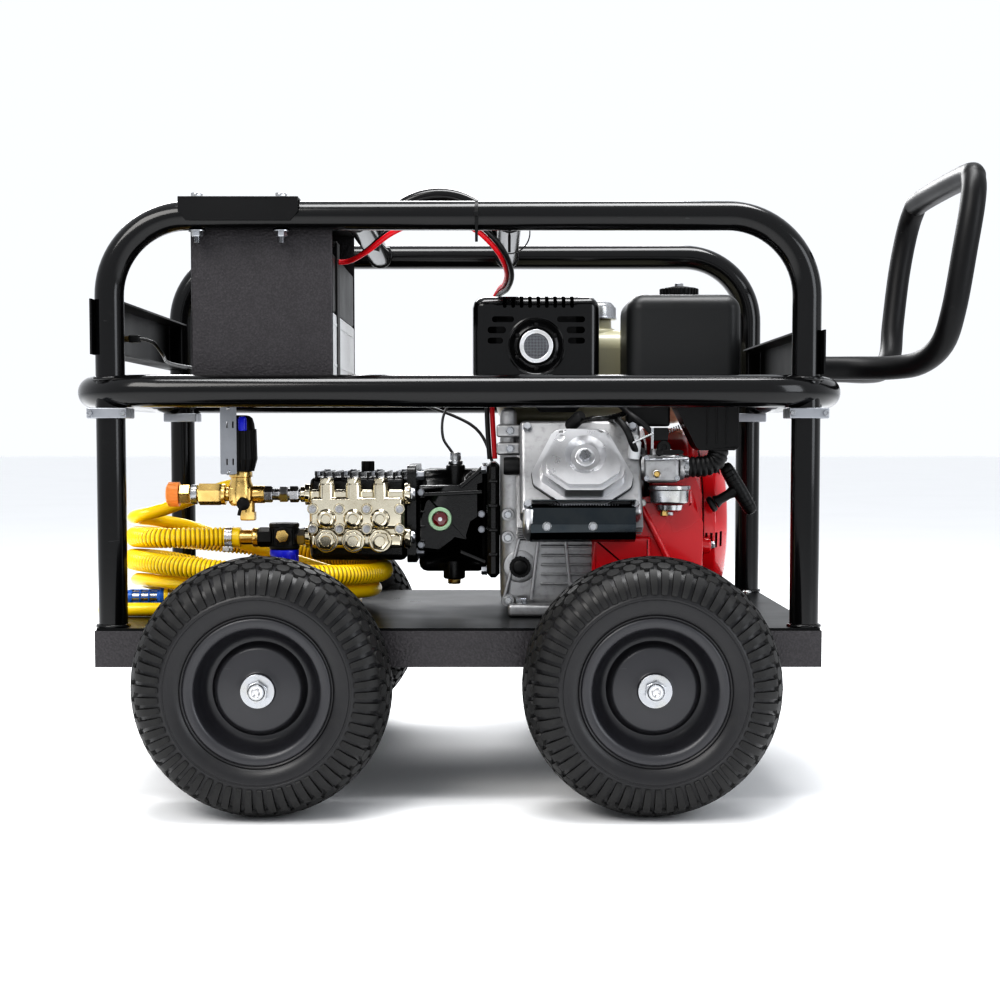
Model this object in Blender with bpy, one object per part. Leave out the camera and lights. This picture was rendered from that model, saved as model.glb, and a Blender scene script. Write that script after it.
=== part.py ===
"""Petrol pressure washer on a four-wheel trolley with roll frame, battery box and push handle.

Metres, +Z up. The trolley's long side runs along X, the engine's cylinder and the pump face -Y,
and the push handle stands at the +X end. The ground is z = 0. Shapes are laid out from the
trolley's centre, and the empty named trolley puts them in place.
"""

import math

import bmesh
import bpy
from mathutils import Euler, Matrix, Vector

# Driving dimensions of the trolley.
POST_X = 0.4575
POST_Y = 0.260
FRAME_TUBE_R = 0.019
TOP_RAIL_Z = 0.769
HOOP_BEND_R = 0.105
BUMPER_TUBE_R = 0.0212
BUMPER_Z = 0.540
BUMPER_X = 0.4957
BUMPER_BEND_R = 0.110
BUMPER_BEND_Y = 0.17667  # the corner bends pass through the posts' axes
CLAMP_HALF = 0.026
CLAMP_DEPTH = 0.014
RAIL_HALF_LENGTH = 0.477
RAIL_WIDTH = 0.050
RAIL_LOW_Z = 0.1785
RAIL_TOP_Z = 0.2265
DECK_LOW_Z = 0.2268
DECK_TOP_Z = 0.2298
GAP = 0.0003
CENTRE_SHIFT_X = -0.1006

# Wheels: 13 x 5.00-6 turf tyres on through axles.
WHEEL_X = 0.247
WHEEL_Y = 0.363
TYRE_R = 0.165
BEAD_R = 0.0790
AXLE_R = 0.010

# Lifting frame between the top rails.
LIFT_X = -0.034
LIFT_ARCH_R = 0.0975
CROSS_TUBE_OFFSET = 0.1015
LIFT_TUBE_R = 0.0095
LIFT_ARCH_Z = 0.735
LIFT_ARCH_START = math.radians(10.0)
LIFT_STEPS = 16

# Push handle.
HANDLE_TUBE_R = 0.0168
HANDLE_LEG_Z = 0.5788

# Engine and drive.
CRANK_Z = 0.358
ENGINE_X = 0.055
CYLINDER_TILT = math.radians(25.0)
PINION_TEETH = 18
PUMP_GEAR_TEETH = 40
GEAR_MODULE = 0.0022
GEAR_BACKLASH = 0.0007
PUMP_SHAFT_Y = 0.5 * GEAR_MODULE * (PINION_TEETH + PUMP_GEAR_TEETH)

# Hoses.
SUCTION_HOSE_R = 0.014
BYPASS_HOSE_R = 0.0095


def clear_scene():
    for old in list(bpy.data.objects):
        bpy.data.objects.remove(old, do_unlink=True)


clear_scene()

TROLLEY = bpy.data.objects.new("trolley", None)
TROLLEY.location = (CENTRE_SHIFT_X, 0.0, 0.0)
bpy.context.scene.collection.objects.link(TROLLEY)


# ---------------------------------------------------------------- materials

def material(name, colour, roughness, metallic=0.0):
    made = bpy.data.materials.new(name)
    made.use_nodes = True
    shader = made.node_tree.nodes["Principled BSDF"]
    shader.inputs["Base Color"].default_value = (*colour, 1.0)
    shader.inputs["Roughness"].default_value = roughness
    shader.inputs["Metallic"].default_value = metallic
    return made


GLOSS_BLACK = material("gloss_black_paint", (0.012, 0.012, 0.013), 0.22)
HAMMERED = material("hammered_charcoal_paint", (0.075, 0.075, 0.08), 0.4, 0.3)
TYRE_RUBBER = material("tyre_rubber", (0.022, 0.022, 0.024), 0.75)
SATIN_BLACK = material("satin_black_paint", (0.03, 0.03, 0.033), 0.4)
CAST_ALUMINIUM = material("cast_aluminium", (0.62, 0.62, 0.63), 0.42, 0.9)
BRIGHT_COVER = material("bright_cover", (0.72, 0.72, 0.73), 0.25, 0.9)
DARK_SHEET = material("dark_sheet", (0.05, 0.055, 0.055), 0.12, 0.9)
RED_PAINT = material("red_paint", (0.6, 0.01, 0.02), 0.28)
BLACK_PLASTIC = material("black_plastic", (0.02, 0.02, 0.022), 0.5)
BLACK_CASTING = material("black_casting", (0.014, 0.014, 0.015), 0.35)
BEIGE_PAINT = material("beige_paint", (0.55, 0.53, 0.44), 0.35)
NICKEL = material("nickel_plate", (0.72, 0.67, 0.56), 0.2, 1.0)
BRASS = material("brass", (0.78, 0.52, 0.18), 0.25, 1.0)
ZINC = material("zinc_plate", (0.7, 0.71, 0.73), 0.3, 1.0)
STEEL = material("machined_steel", (0.6, 0.6, 0.62), 0.3, 1.0)
BATTERY_GREY = material("battery_grey", (0.6, 0.61, 0.62), 0.5)
BLUE_PLASTIC = material("blue_plastic", (0.01, 0.03, 0.55), 0.3)
RED_PLASTIC = material("red_plastic", (0.7, 0.01, 0.01), 0.3)
ORANGE_PLASTIC = material("orange_plastic", (0.85, 0.33, 0.08), 0.3)
GREEN_PLASTIC = material("green_plastic", (0.45, 0.65, 0.45), 0.25)
YELLOW_HOSE = material("yellow_hose", (0.93, 0.65, 0.01), 0.35)
CABLE_RED = material("cable_sheath", (0.65, 0.02, 0.03), 0.4)


# ---------------------------------------------------------------- shape helpers

def place(name, data, finish, at=(0.0, 0.0, 0.0)):
    """A named object of the trolley with its own finish."""
    made = bpy.data.objects.new(name, data)
    bpy.context.scene.collection.objects.link(made)
    made.parent = TROLLEY
    made.location = at
    if finish is not None:
        data.materials.clear()
        data.materials.append(finish)
    return made


def mesh_from(bm, name, sharp_degrees=35.0):
    bmesh.ops.recalc_face_normals(bm, faces=bm.faces)
    data = bpy.data.meshes.new(name)
    bm.to_mesh(data)
    bm.free()
    data.shade_smooth()
    data.set_sharp_from_angle(angle=math.radians(sharp_degrees))
    return data


def box_mesh(name, low, high, bevel=0.0, segments=1):
    """A box between two corners, its edges rounded by bevel."""
    bm = bmesh.new()
    size = [b - a for a, b in zip(low, high)]
    centre = [(a + b) / 2 for a, b in zip(low, high)]
    bmesh.ops.create_cube(bm, size=1.0)
    bmesh.ops.scale(bm, vec=size, verts=bm.verts)
    bmesh.ops.translate(bm, vec=centre, verts=bm.verts)
    if bevel:
        bmesh.ops.bevel(bm, geom=bm.edges, offset=bevel, segments=segments, profile=0.5,
                        affect="EDGES")
    return mesh_from(bm, name)


def turn_to(axis):
    """The rotation that takes +Z to the axis."""
    return Vector((0.0, 0.0, 1.0)).rotation_difference(Vector(axis)).to_matrix().to_4x4()


def turned_mesh(name, profile, axis=(0.0, 0.0, 1.0), centre=(0.0, 0.0, 0.0), sides=24, ring=False):
    """A profile of (radius, distance along the axis) turned about the axis.

    A ring's profile closes on itself. Any other profile is closed by a flat disc at each end.
    """
    bm = bmesh.new()
    loops = []
    for radius, along in profile:
        loop = []
        for k in range(sides):
            angle = 2.0 * math.pi * k / sides
            loop.append(bm.verts.new((radius * math.cos(angle), radius * math.sin(angle), along)))
        loops.append(loop)
    pairs = list(zip(loops, loops[1:]))
    if ring:
        pairs.append((loops[-1], loops[0]))
    for first, second in pairs:
        for k in range(sides):
            n = (k + 1) % sides
            bm.faces.new((first[k], first[n], second[n], second[k]))
    if not ring:
        bm.faces.new(loops[0])
        bm.faces.new(loops[-1])
    bmesh.ops.transform(bm, matrix=Matrix.Translation(centre) @ turn_to(axis), verts=bm.verts)
    return mesh_from(bm, name)


def rod_mesh(name, start, end, radius, sides=12):
    axis = Vector(end) - Vector(start)
    return turned_mesh(name, [(radius, 0.0), (radius, axis.length)], axis, start, sides)


def outline_mesh(name, outline, thickness, matrix):
    """A flat outline of (x, y) points, thickened along its own +Z, then moved by the matrix."""
    bm = bmesh.new()
    bottom = [bm.verts.new((x, y, 0.0)) for x, y in outline]
    top = [bm.verts.new((x, y, thickness)) for x, y in outline]
    bm.faces.new(bottom)
    bm.faces.new(top)
    for k in range(len(outline)):
        n = (k + 1) % len(outline)
        bm.faces.new((bottom[k], bottom[n], top[n], top[k]))
    bmesh.ops.transform(bm, matrix=matrix, verts=bm.verts)
    return mesh_from(bm, name)


def helper(data, name):
    """A tool body for a Boolean: never part of the model itself."""
    made = place(name, data, None)
    made.hide_render = True
    made.display_type = "WIRE"
    return made


def combine(target, operation, meshes):
    """Unites the meshes with the target or cuts them from it, all in the target's own axes."""
    for count, data in enumerate(meshes):
        tool = helper(data, f"{target.name}_{operation.lower()}_{count}")
        tool.location = target.location
        step = target.modifiers.new(f"{operation.lower()}_{count}", "BOOLEAN")
        step.operation = operation
        step.solver = "EXACT"
        step.object = tool
    return target


def unite(target, *meshes):
    return combine(target, "UNION", meshes)


def cut(target, *meshes):
    return combine(target, "DIFFERENCE", meshes)


def smooth_points(points, spacing, closed=False):
    """Points at about the spacing along a smooth curve through the given ones."""
    route = [Vector(p) for p in points]
    count = len(route)
    spans = count if closed else count - 1
    found = []
    for i in range(spans):
        if closed:
            p0, p1, p2, p3 = (route[(i + k - 1) % count] for k in range(4))
        else:
            p0, p1, p2, p3 = (route[min(max(i + k - 1, 0), count - 1)] for k in range(4))
        steps = max(1, round((p2 - p1).length / spacing))
        for k in range(steps):
            t = k / steps
            found.append(0.5 * (2.0 * p1 + (p2 - p0) * t + (2.0 * p0 - 5.0 * p1 + 4.0 * p2 - p3) * t * t
                                + (3.0 * p1 - 3.0 * p2 + p3 - p0) * t ** 3))
    if not closed:
        found.append(route[-1])
    return found


def tube(name, points, radius, finish, closed=False, resolution=4):
    """A round tube or hose along the points."""
    data = bpy.data.curves.new(name, "CURVE")
    data.dimensions = "3D"
    data.bevel_depth = radius
    data.bevel_resolution = resolution
    data.use_fill_caps = not closed
    line = data.splines.new("POLY")
    line.points.add(len(points) - 1)
    for slot, point in zip(line.points, points):
        slot.co = (*point, 1.0)
    line.use_cyclic_u = closed
    return place(name, data, finish)


def swept_mesh(name, points, radius, sides, closed=False):
    """A round bar along points that all lie in one plane."""
    route = [Vector(p) for p in points]
    count = len(route)
    steps = [route[(k + 1) % count] - route[k - 1] for k in range(count)]
    if not closed:
        steps[0] = route[1] - route[0]
        steps[-1] = route[-1] - route[-2]
    square = steps[0].cross(steps[count // 5]).normalized()
    bm = bmesh.new()
    loops = []
    for point, step in zip(route, steps):
        out = step.cross(square).normalized()
        loop = []
        for m in range(sides):
            turn = 2.0 * math.pi * m / sides
            loop.append(bm.verts.new(point + radius * (math.cos(turn) * out + math.sin(turn) * square)))
        loops.append(loop)
    pairs = list(zip(loops, loops[1:]))
    if closed:
        pairs.append((loops[-1], loops[0]))
    else:
        bm.faces.new(loops[0])
        bm.faces.new(loops[-1])
    for first, second in pairs:
        for m in range(sides):
            n = (m + 1) % sides
            bm.faces.new((first[m], first[n], second[n], second[m]))
    return mesh_from(bm, name)


def arc(centre, start, end, steps):
    """Points on a round bend about the centre, from the start point to the end point."""
    first = Vector(start) - Vector(centre)
    last = Vector(end) - Vector(centre)
    turn = first.rotation_difference(last)
    found = []
    for k in range(steps + 1):
        part = turn.copy()
        part.angle = turn.angle * k / steps
        found.append(Vector(centre) + part @ first)
    return found


# ---------------------------------------------------------------- trolley

def build_base_frame():
    side = RAIL_WIDTH / 2
    inset = 0.001
    base = place("base_frame", box_mesh("near_rail", (-RAIL_HALF_LENGTH, -POST_Y - side, RAIL_LOW_Z),
                                        (RAIL_HALF_LENGTH, -POST_Y + side, RAIL_TOP_Z)), HAMMERED)
    parts = [box_mesh("far_rail", (-RAIL_HALF_LENGTH, POST_Y - side, RAIL_LOW_Z),
                      (RAIL_HALF_LENGTH, POST_Y + side, RAIL_TOP_Z))]
    for x in (-RAIL_HALF_LENGTH + side + inset, -WHEEL_X, WHEEL_X, RAIL_HALF_LENGTH - side - inset):
        parts.append(box_mesh("cross_rail", (x - side, -POST_Y, RAIL_LOW_Z + inset),
                              (x + side, POST_Y, RAIL_TOP_Z - inset)))
    for x in (-WHEEL_X, WHEEL_X):
        for y in (-POST_Y, POST_Y):
            parts.append(box_mesh("axle_carrier", (x - 0.028, y - 0.012, 0.145),
                                  (x + 0.028, y + 0.012, RAIL_LOW_Z + 0.01)))
    unite(base, *parts)
    reach = WHEEL_Y + 0.1
    cut(base, *[rod_mesh("axle_bore", (x, -reach, TYRE_R), (x, reach, TYRE_R), AXLE_R + 0.0008, 16)
                for x in (-WHEEL_X, WHEEL_X)])


def build_deck():
    place("deck_plate", box_mesh("deck_plate", (-0.475, -0.283, DECK_LOW_Z), (0.475, 0.283, DECK_TOP_Z)),
          SATIN_BLACK)


def build_side_hoop(name, y):
    """Both posts and the top rail of one side, bent from one tube."""
    foot = DECK_TOP_Z + GAP
    bend_x = POST_X - HOOP_BEND_R
    bend_z = TOP_RAIL_Z - HOOP_BEND_R
    points = [Vector((-POST_X, y, foot))]
    points += arc((-bend_x, y, bend_z), (-POST_X, y, bend_z), (-bend_x, y, TOP_RAIL_Z), 6)
    points += arc((bend_x, y, bend_z), (bend_x, y, TOP_RAIL_Z), (POST_X, y, bend_z), 6)
    points.append(Vector((POST_X, y, foot)))
    tube(name, points, FRAME_TUBE_R, GLOSS_BLACK)


def build_bumper():
    """A closed rounded rectangle of tube, with the four posts passing through its corners."""
    in_x = BUMPER_X - BUMPER_BEND_R
    in_y = BUMPER_BEND_Y
    out_y = BUMPER_BEND_Y + BUMPER_BEND_R
    points = []
    posts = []
    for sx, sy in ((1, -1), (1, 1), (-1, 1), (-1, -1)):
        centre = (sx * in_x, sy * in_y, BUMPER_Z)
        on_side = (sx * in_x, sy * out_y, BUMPER_Z)
        on_end = (sx * BUMPER_X, sy * in_y, BUMPER_Z)
        ends = (on_side, on_end) if sx * sy < 0 else (on_end, on_side)
        points += arc(centre, *ends, 5)
        post = (sx * POST_X, sy * POST_Y)
        posts.append(rod_mesh("post_hole", (*post, BUMPER_Z - 0.1), (*post, BUMPER_Z + 0.1),
                              FRAME_TUBE_R + 0.0007, 16))
    bumper = place("bumper_rail", swept_mesh("bumper_rail", points, BUMPER_TUBE_R, 12, closed=True),
                   GLOSS_BLACK)
    cut(bumper, *posts)


def build_lifting_frame():
    """Two cross tubes between the top rails, with a lifting arch welded across them."""
    reach = POST_Y - FRAME_TUBE_R - GAP
    xs = (LIFT_X - CROSS_TUBE_OFFSET, LIFT_X + CROSS_TUBE_OFFSET)
    frame = place("lifting_frame", rod_mesh("cross_tube", (xs[0], -reach, TOP_RAIL_Z),
                                            (xs[0], reach, TOP_RAIL_Z), 0.0168), GLOSS_BLACK)
    arch = []
    for k in range(LIFT_STEPS + 1):
        angle = LIFT_ARCH_START + (math.pi - 2.0 * LIFT_ARCH_START) * k / LIFT_STEPS
        arch.append((LIFT_X + LIFT_ARCH_R * math.cos(angle), 0.0,
                     LIFT_ARCH_Z + LIFT_ARCH_R * math.sin(angle)))
    unite(frame, swept_mesh("lifting_arch", arch, LIFT_TUBE_R, 8),
          rod_mesh("cross_tube", (xs[1], -reach, TOP_RAIL_Z), (xs[1], reach, TOP_RAIL_Z), 0.0168))


def build_bumper_clamps():
    """The grey collars that hold the bumper to the posts, just under it."""
    top = BUMPER_Z - BUMPER_TUBE_R - GAP
    for name_x, sx in (("left", -1), ("right", 1)):
        for name_y, sy in (("near", -1), ("far", 1)):
            x, y = sx * POST_X, sy * POST_Y
            clamp = place(f"bumper_clamp_{name_y}_{name_x}",
                          box_mesh("clamp", (x - CLAMP_HALF, y - CLAMP_HALF, top - CLAMP_DEPTH),
                                   (x + CLAMP_HALF, y + CLAMP_HALF, top)), ZINC)
            cut(clamp, rod_mesh("post_hole", (x, y, top - 0.05), (x, y, top + 0.05),
                                FRAME_TUBE_R + 0.0007, 16))


def build_end_channel(name, side, low, high):
    """A folded channel across the posts at one end: a web outside them and two flanges between."""
    face = side * (POST_X + FRAME_TUBE_R + GAP)
    web = sorted((face, face + side * 0.0025))
    flange = sorted((face + side * 0.001, side * (POST_X - 0.012)))
    channel = place(name, box_mesh("web", (web[0], -0.279, low), (web[1], 0.279, high)), SATIN_BLACK)
    between = POST_Y - FRAME_TUBE_R - 0.003
    unite(channel, *[box_mesh("flange", (flange[0], -between, z), (flange[1], between, z + 0.0025))
                     for z in (low + 0.0002, high - 0.0027)])
    return channel


def build_panels():
    panel = build_end_channel("control_panel", -1, 0.588, 0.660)
    build_end_channel("end_panel", 1, 0.5625, 0.620)
    switch_y, switch_z = -0.20, 0.612
    face = -(POST_X + FRAME_TUBE_R + GAP)
    reach = 0.02
    outside = (face - reach, switch_y, switch_z)
    cut(panel, rod_mesh("switch_hole", outside, (face + reach, switch_y, switch_z), 0.0085))
    body = place("stop_switch_body",
                 turned_mesh("switch_body", [(0.0125, -0.006), (0.0125, -0.0028), (0.008, -0.0028),
                                             (0.008, 0.0003), (0.008, 0.022)],
                             (1.0, 0.0, 0.0), (face, switch_y, switch_z), 16), BLACK_PLASTIC)
    cut(body, rod_mesh("button_bore", outside, (face + 0.012, switch_y, switch_z), 0.0066))
    place("stop_button", turned_mesh("button", [(0.0045, -0.0085), (0.0062, -0.0072), (0.0062, 0.006)],
                                     (1.0, 0.0, 0.0), (0.0, 0.0, 0.0), 16), RED_PLASTIC,
          (face, switch_y, switch_z))


def build_axles():
    reach = WHEEL_Y + 0.048
    for name, x in (("axle_left", -WHEEL_X), ("axle_right", WHEEL_X)):
        profile = [(AXLE_R, -reach), (AXLE_R, reach)]
        place(name, turned_mesh(name, profile, (0.0, 1.0, 0.0), (x, 0.0, TYRE_R), 16), ZINC)


def build_wheels():
    """Each tyre and its dished rim are centred on their own axle end and turn about Y."""
    tread = [(BEAD_R, 0.0505), (0.0930, 0.0505), (0.099, 0.058), (0.130, 0.0635), (0.155, 0.0575),
             (TYRE_R, 0.040)]
    tyre_profile = tread + [(r, -y) for r, y in reversed(tread)]
    bore = AXLE_R + 0.0005
    rim_profile = [(bore, 0.044), (0.022, 0.044), (0.024, 0.034), (0.057, 0.032), (0.070, 0.014),
                   (0.0735, 0.0545), (0.092, 0.0555), (0.0772, 0.0510), (0.0772, -0.0510), (0.092, -0.0555),
                   (0.0735, -0.0545), (0.069, 0.008), (0.054, 0.026), (0.019, 0.026), (0.018, -0.044),
                   (bore, -0.044)]
    tyre_data = turned_mesh("tyre", tyre_profile, (0.0, 1.0, 0.0), sides=28, ring=True)
    rim_data = turned_mesh("rim", rim_profile, (0.0, 1.0, 0.0), sides=16, ring=True)
    for name_x, x in (("left", -WHEEL_X), ("right", WHEEL_X)):
        for name_y, y, turn in (("near", -WHEEL_Y, math.pi), ("far", WHEEL_Y, 0.0)):
            for part, data, finish in (("tyre", tyre_data, TYRE_RUBBER), ("rim", rim_data, SATIN_BLACK)):
                wheel = place(f"{part}_{name_y}_{name_x}", data, finish, (x, y, TYRE_R))
                wheel.rotation_euler = Euler((0.0, 0.0, turn))


def build_handle():
    """Two legs that splay and sweep up from the right end panel to one crossbar."""
    start_x = POST_X + FRAME_TUBE_R + GAP + 0.0025 + GAP
    leg = [(start_x, -0.050, HANDLE_LEG_Z), (0.560, -0.055, HANDLE_LEG_Z), (0.610, -0.085, 0.5783),
           (0.642, -0.120, 0.584), (0.663, -0.155, 0.608), (0.672, -0.180, 0.655), (0.683, -0.190, 0.735),
           (0.693, -0.187, 0.795), (0.699, -0.168, 0.829), (0.701, -0.125, 0.8405)]
    route = leg + [(x, -y, z) for x, y, z in reversed(leg)]
    tube("push_handle", smooth_points(route, 0.035), HANDLE_TUBE_R, SATIN_BLACK, resolution=2)


# ---------------------------------------------------------------- battery box

BOX_LOW = Vector((-0.3550, -0.2350, 0.5450))
BOX_HIGH = Vector((-0.1670, 0.1230, 0.7881))
SHEET = 0.0025


def build_battery_box():
    box = place("battery_box", box_mesh("battery_box", BOX_LOW, BOX_HIGH), HAMMERED)
    reach = 0.05
    wall = Vector((SHEET, SHEET, SHEET))
    inner_low = BOX_LOW + wall
    inner_high = Vector((BOX_HIGH.x + reach, BOX_HIGH.y - SHEET, BOX_HIGH.z - SHEET))
    cut(box, box_mesh("box_hollow", inner_low, inner_high))
    battery_low = inner_low + Vector((0.003, 0.003, GAP))
    battery_high = Vector((BOX_HIGH.x - GAP, BOX_HIGH.y - 0.008, 0.7400))
    place("battery", box_mesh("battery", battery_low, battery_high, 0.004), BATTERY_GREY)


def build_box_bracket():
    """A folded plate over the near top rail, bolted through it, that carries the box."""
    low_x, high_x = -0.3627, -0.2070
    rail_top = TOP_RAIL_Z + FRAME_TUBE_R + GAP
    near = -POST_Y - FRAME_TUBE_R - GAP
    bracket = place("box_bracket", box_mesh("top_flange", (low_x, near - 0.003, rail_top),
                                            (high_x, -0.205, rail_top + 0.003)), SATIN_BLACK)
    unite(bracket, box_mesh("front_lip", (low_x + 0.0002, near - 0.0029, 0.7610),
                            (high_x - 0.0002, near, rail_top + 0.001)))


# ---------------------------------------------------------------- engine

def tilted(along, up=0.0):
    """A point of the cylinder's axis plane: along it from the crank, and up square to it."""
    c, s = math.cos(CYLINDER_TILT), math.sin(CYLINDER_TILT)
    return Vector((0.0, -c * along + s * up, CRANK_Z + s * along + c * up))


def tilted_box(name, x_low, x_high, near, far, half_height, bevel=0.0):
    data = box_mesh(name, (x_low, -far, -half_height), (x_high, -near, half_height), bevel)
    data.transform(Matrix.Translation((0.0, 0.0, CRANK_Z)) @ Matrix.Rotation(-CYLINDER_TILT, 4, "X"))
    return data


def build_engine_block():
    foot = DECK_TOP_Z + GAP
    case = box_mesh("crankcase", (ENGINE_X, -0.125, foot + 0.012), (0.262, 0.135, 0.470), 0.018, 2)
    block = place("engine_block", case, CAST_ALUMINIUM)
    unite(block,
          tilted_box("cylinder", 0.082, 0.248, 0.04, 0.196, 0.074, 0.010),
          box_mesh("near_foot", (0.066, -0.150, foot), (0.256, -0.085, foot + 0.020)),
          box_mesh("far_foot", (0.066, 0.085, foot), (0.256, 0.150, foot + 0.020)))
    cut(block, rod_mesh("crank_bore", (0.0, 0.0, CRANK_Z), (0.3, 0.0, CRANK_Z), 0.0265, 20))


def cover_outline(scale=1.0):
    """The valve cover's six-cornered face: narrow top, wide shoulders, narrower foot."""
    corners = ((-0.038, 0.052), (0.034, 0.052), (0.069, -0.018), (0.066, -0.034), (0.031, -0.059),
               (-0.028, -0.059), (-0.067, -0.030), (-0.069, -0.012))
    return [(x * scale, y * scale) for x, y in corners]


def build_valve_cover():
    at = tilted(0.1963)
    matrix = Matrix.Translation(Vector((0.167, at.y, at.z)))
    matrix = matrix @ Matrix.Rotation(math.radians(90.0) - CYLINDER_TILT, 4, "X")
    cover = place("valve_cover", outline_mesh("valve_cover", cover_outline(), 0.016, matrix), BRIGHT_COVER)
    unite(cover, outline_mesh("raised_face", cover_outline(0.84), 0.036, matrix @ Matrix.Translation(
        (0.0, 0.0, 0.001))))


def build_heat_shield():
    """The dark polished duct sheet under the cylinder head."""
    sheet = place("heat_shield", box_mesh("heat_shield", (0.088, -0.215, 0.338), (0.240, -0.165, 0.341)),
                  DARK_SHEET)
    unite(sheet, box_mesh("shield_front", (0.0881, -0.2149, 0.3383), (0.2399, -0.212, 0.373)))


def build_red_covers():
    centre = (0.0, 0.0, CRANK_Z)
    fan = place("fan_cover", turned_mesh("fan_cover", [(0.135, 0.2630), (0.135, 0.320), (0.118, 0.3405)],
                                         (1.0, 0.0, 0.0), centre, 24), RED_PAINT)
    unite(fan, box_mesh("upper_duct", (0.2640, -0.122, 0.300), (0.3380, -0.05, 0.455), 0.008),
          box_mesh("lower_duct", (0.2645, -0.152, 0.2500), (0.3370, -0.05, 0.3620), 0.010))
    cut(fan, turned_mesh("fan_room", [(0.121, 0.200), (0.121, 0.317), (0.105, 0.3360), (0.060, 0.3365),
                                      (0.060, 0.400)], (1.0, 0.0, 0.0), centre, 24),
        box_mesh("fan_floor_cut", (0.2, -0.2, 0.15), (0.4, 0.2, DECK_TOP_Z + GAP)))
    housing = [(0.112, 0.3409), (0.112, 0.358), (0.094, 0.3775), (0.030, 0.379)]
    recoil = place("recoil_cover", turned_mesh("recoil_cover", housing, (1.0, 0.0, 0.0), centre, 24),
                   RED_PAINT)
    cut(recoil, turned_mesh("rope_room", [(0.100, 0.300), (0.100, 0.355), (0.086, 0.370)],
                            (1.0, 0.0, 0.0), centre, 20))


GRIP_LEAN = Vector((0.86, 0.0, 0.51)).normalized()
GRIP_ROOT = Vector((0.3560, -0.1290, 0.3895))


def build_recoil_grip():
    """The starter's T handle: a leaning stem and a rounded bar across its end."""
    stem = turned_mesh("stem", [(0.009, 0.0), (0.0065, 0.006), (0.007, 0.034)], GRIP_LEAN, sides=10)
    grip = place("recoil_grip", stem, BLACK_PLASTIC, tuple(GRIP_ROOT))
    across = Vector((GRIP_LEAN.z, 0.0, -GRIP_LEAN.x))
    middle = GRIP_LEAN * 0.037
    profile = [(0.004, -0.040), (0.0095, -0.034), (0.0105, 0.0), (0.0095, 0.034), (0.004, 0.040)]
    unite(grip, turned_mesh("bar", profile, across, middle, 10))


def build_muffler():
    low, high = Vector((0.0175, -0.165, 0.535)), Vector((0.1915, 0.010, 0.6730))
    guard = place("muffler_guard", box_mesh("muffler_guard", low, high, 0.012, 2), GLOSS_BLACK)
    wall = 0.002
    cut(guard, box_mesh("guard_hollow", (low.x + wall, low.y + wall, low.z - 0.02),
                        (high.x - wall, high.y - wall, high.z - wall), 0.010, 2),
        rod_mesh("outlet_hole", (0.106, -0.2, 0.606), (0.106, -0.1, 0.606), 0.026, 20))
    muffler = place("muffler", box_mesh("muffler", (0.030, -0.148, 0.545), (0.180, -0.003, 0.660), 0.02, 2),
                    SATIN_BLACK)
    unite(muffler, rod_mesh("outlet", (0.106, -0.166, 0.606), (0.106, -0.1, 0.606), 0.021, 16),
          box_mesh("manifold", (0.105, -0.150, 0.515), (0.165, -0.105, 0.560), 0.006))
    cut(muffler, rod_mesh("outlet_bore", (0.106, -0.2, 0.606), (0.106, -0.13, 0.606), 0.014, 16))


def build_air_cleaner():
    low, high = Vector((0.2290, -0.170, 0.5600)), Vector((0.3860, -0.010, 0.6760))
    cover = place("air_cleaner_cover", box_mesh("air_cleaner_cover", low, high, 0.016, 2), BLACK_PLASTIC)
    cut(cover, box_mesh("filter_room", (low.x + 0.003, low.y + 0.003, low.z - 0.02),
                        (high.x - 0.003, high.y - 0.003, high.z - 0.003), 0.013),
        rod_mesh("stud_hole", (0.3075, -0.09, 0.6), (0.3075, -0.09, 0.7), 0.0045))
    base = place("air_cleaner_base", box_mesh("air_cleaner_base", (0.2310, -0.168, 0.5480),
                                              (0.3840, -0.012, 0.5597), 0.004), BLACK_PLASTIC)
    unite(base, box_mesh("intake_silencer", (0.3000, -0.165, 0.462), (0.3835, -0.105, 0.5500), 0.008),
          rod_mesh("centre_stud", (0.3075, -0.09, 0.5400), (0.3075, -0.09, 0.6950), 0.003, 8))
    knob = place("air_cleaner_knob", turned_mesh("knob", [(0.020, 0.6763), (0.024, 0.6790), (0.024, 0.6840),
                                                         (0.014, 0.6885)], (0.0, 0.0, 1.0),
                                                 (0.0, 0.0, -0.6763), 16), BLACK_PLASTIC,
                 (0.3075, -0.09, 0.6763))
    cut(knob, rod_mesh("knob_bore", (0.0, 0.0, -0.1), (0.0, 0.0, 0.1), 0.0035, 8))


def build_fuel_tank():
    shell = box_mesh("fuel_tank", (0.050, 0.030, 0.500), (0.345, 0.225, 0.6400), 0.026, 2)
    tank = place("fuel_tank", shell, BEIGE_PAINT)
    neck = (0.199, 0.075)
    unite(tank, rod_mesh("neck", (*neck, 0.62), (*neck, 0.6560), 0.024, 20),
          box_mesh("tank_bracket", (0.080, 0.060, 0.4705), (0.250, 0.120, 0.510)))
    cut(tank, rod_mesh("filler", (*neck, 0.600), (*neck, 0.700), 0.018, 16))
    cap = [(0.0165, -0.020), (0.0165, 0.0003), (0.031, 0.0003), (0.031, 0.0220), (0.026, 0.0280)]
    place("fuel_cap", turned_mesh("fuel_cap", cap, sides=20), ZINC, (*neck, 0.6560))


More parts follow.
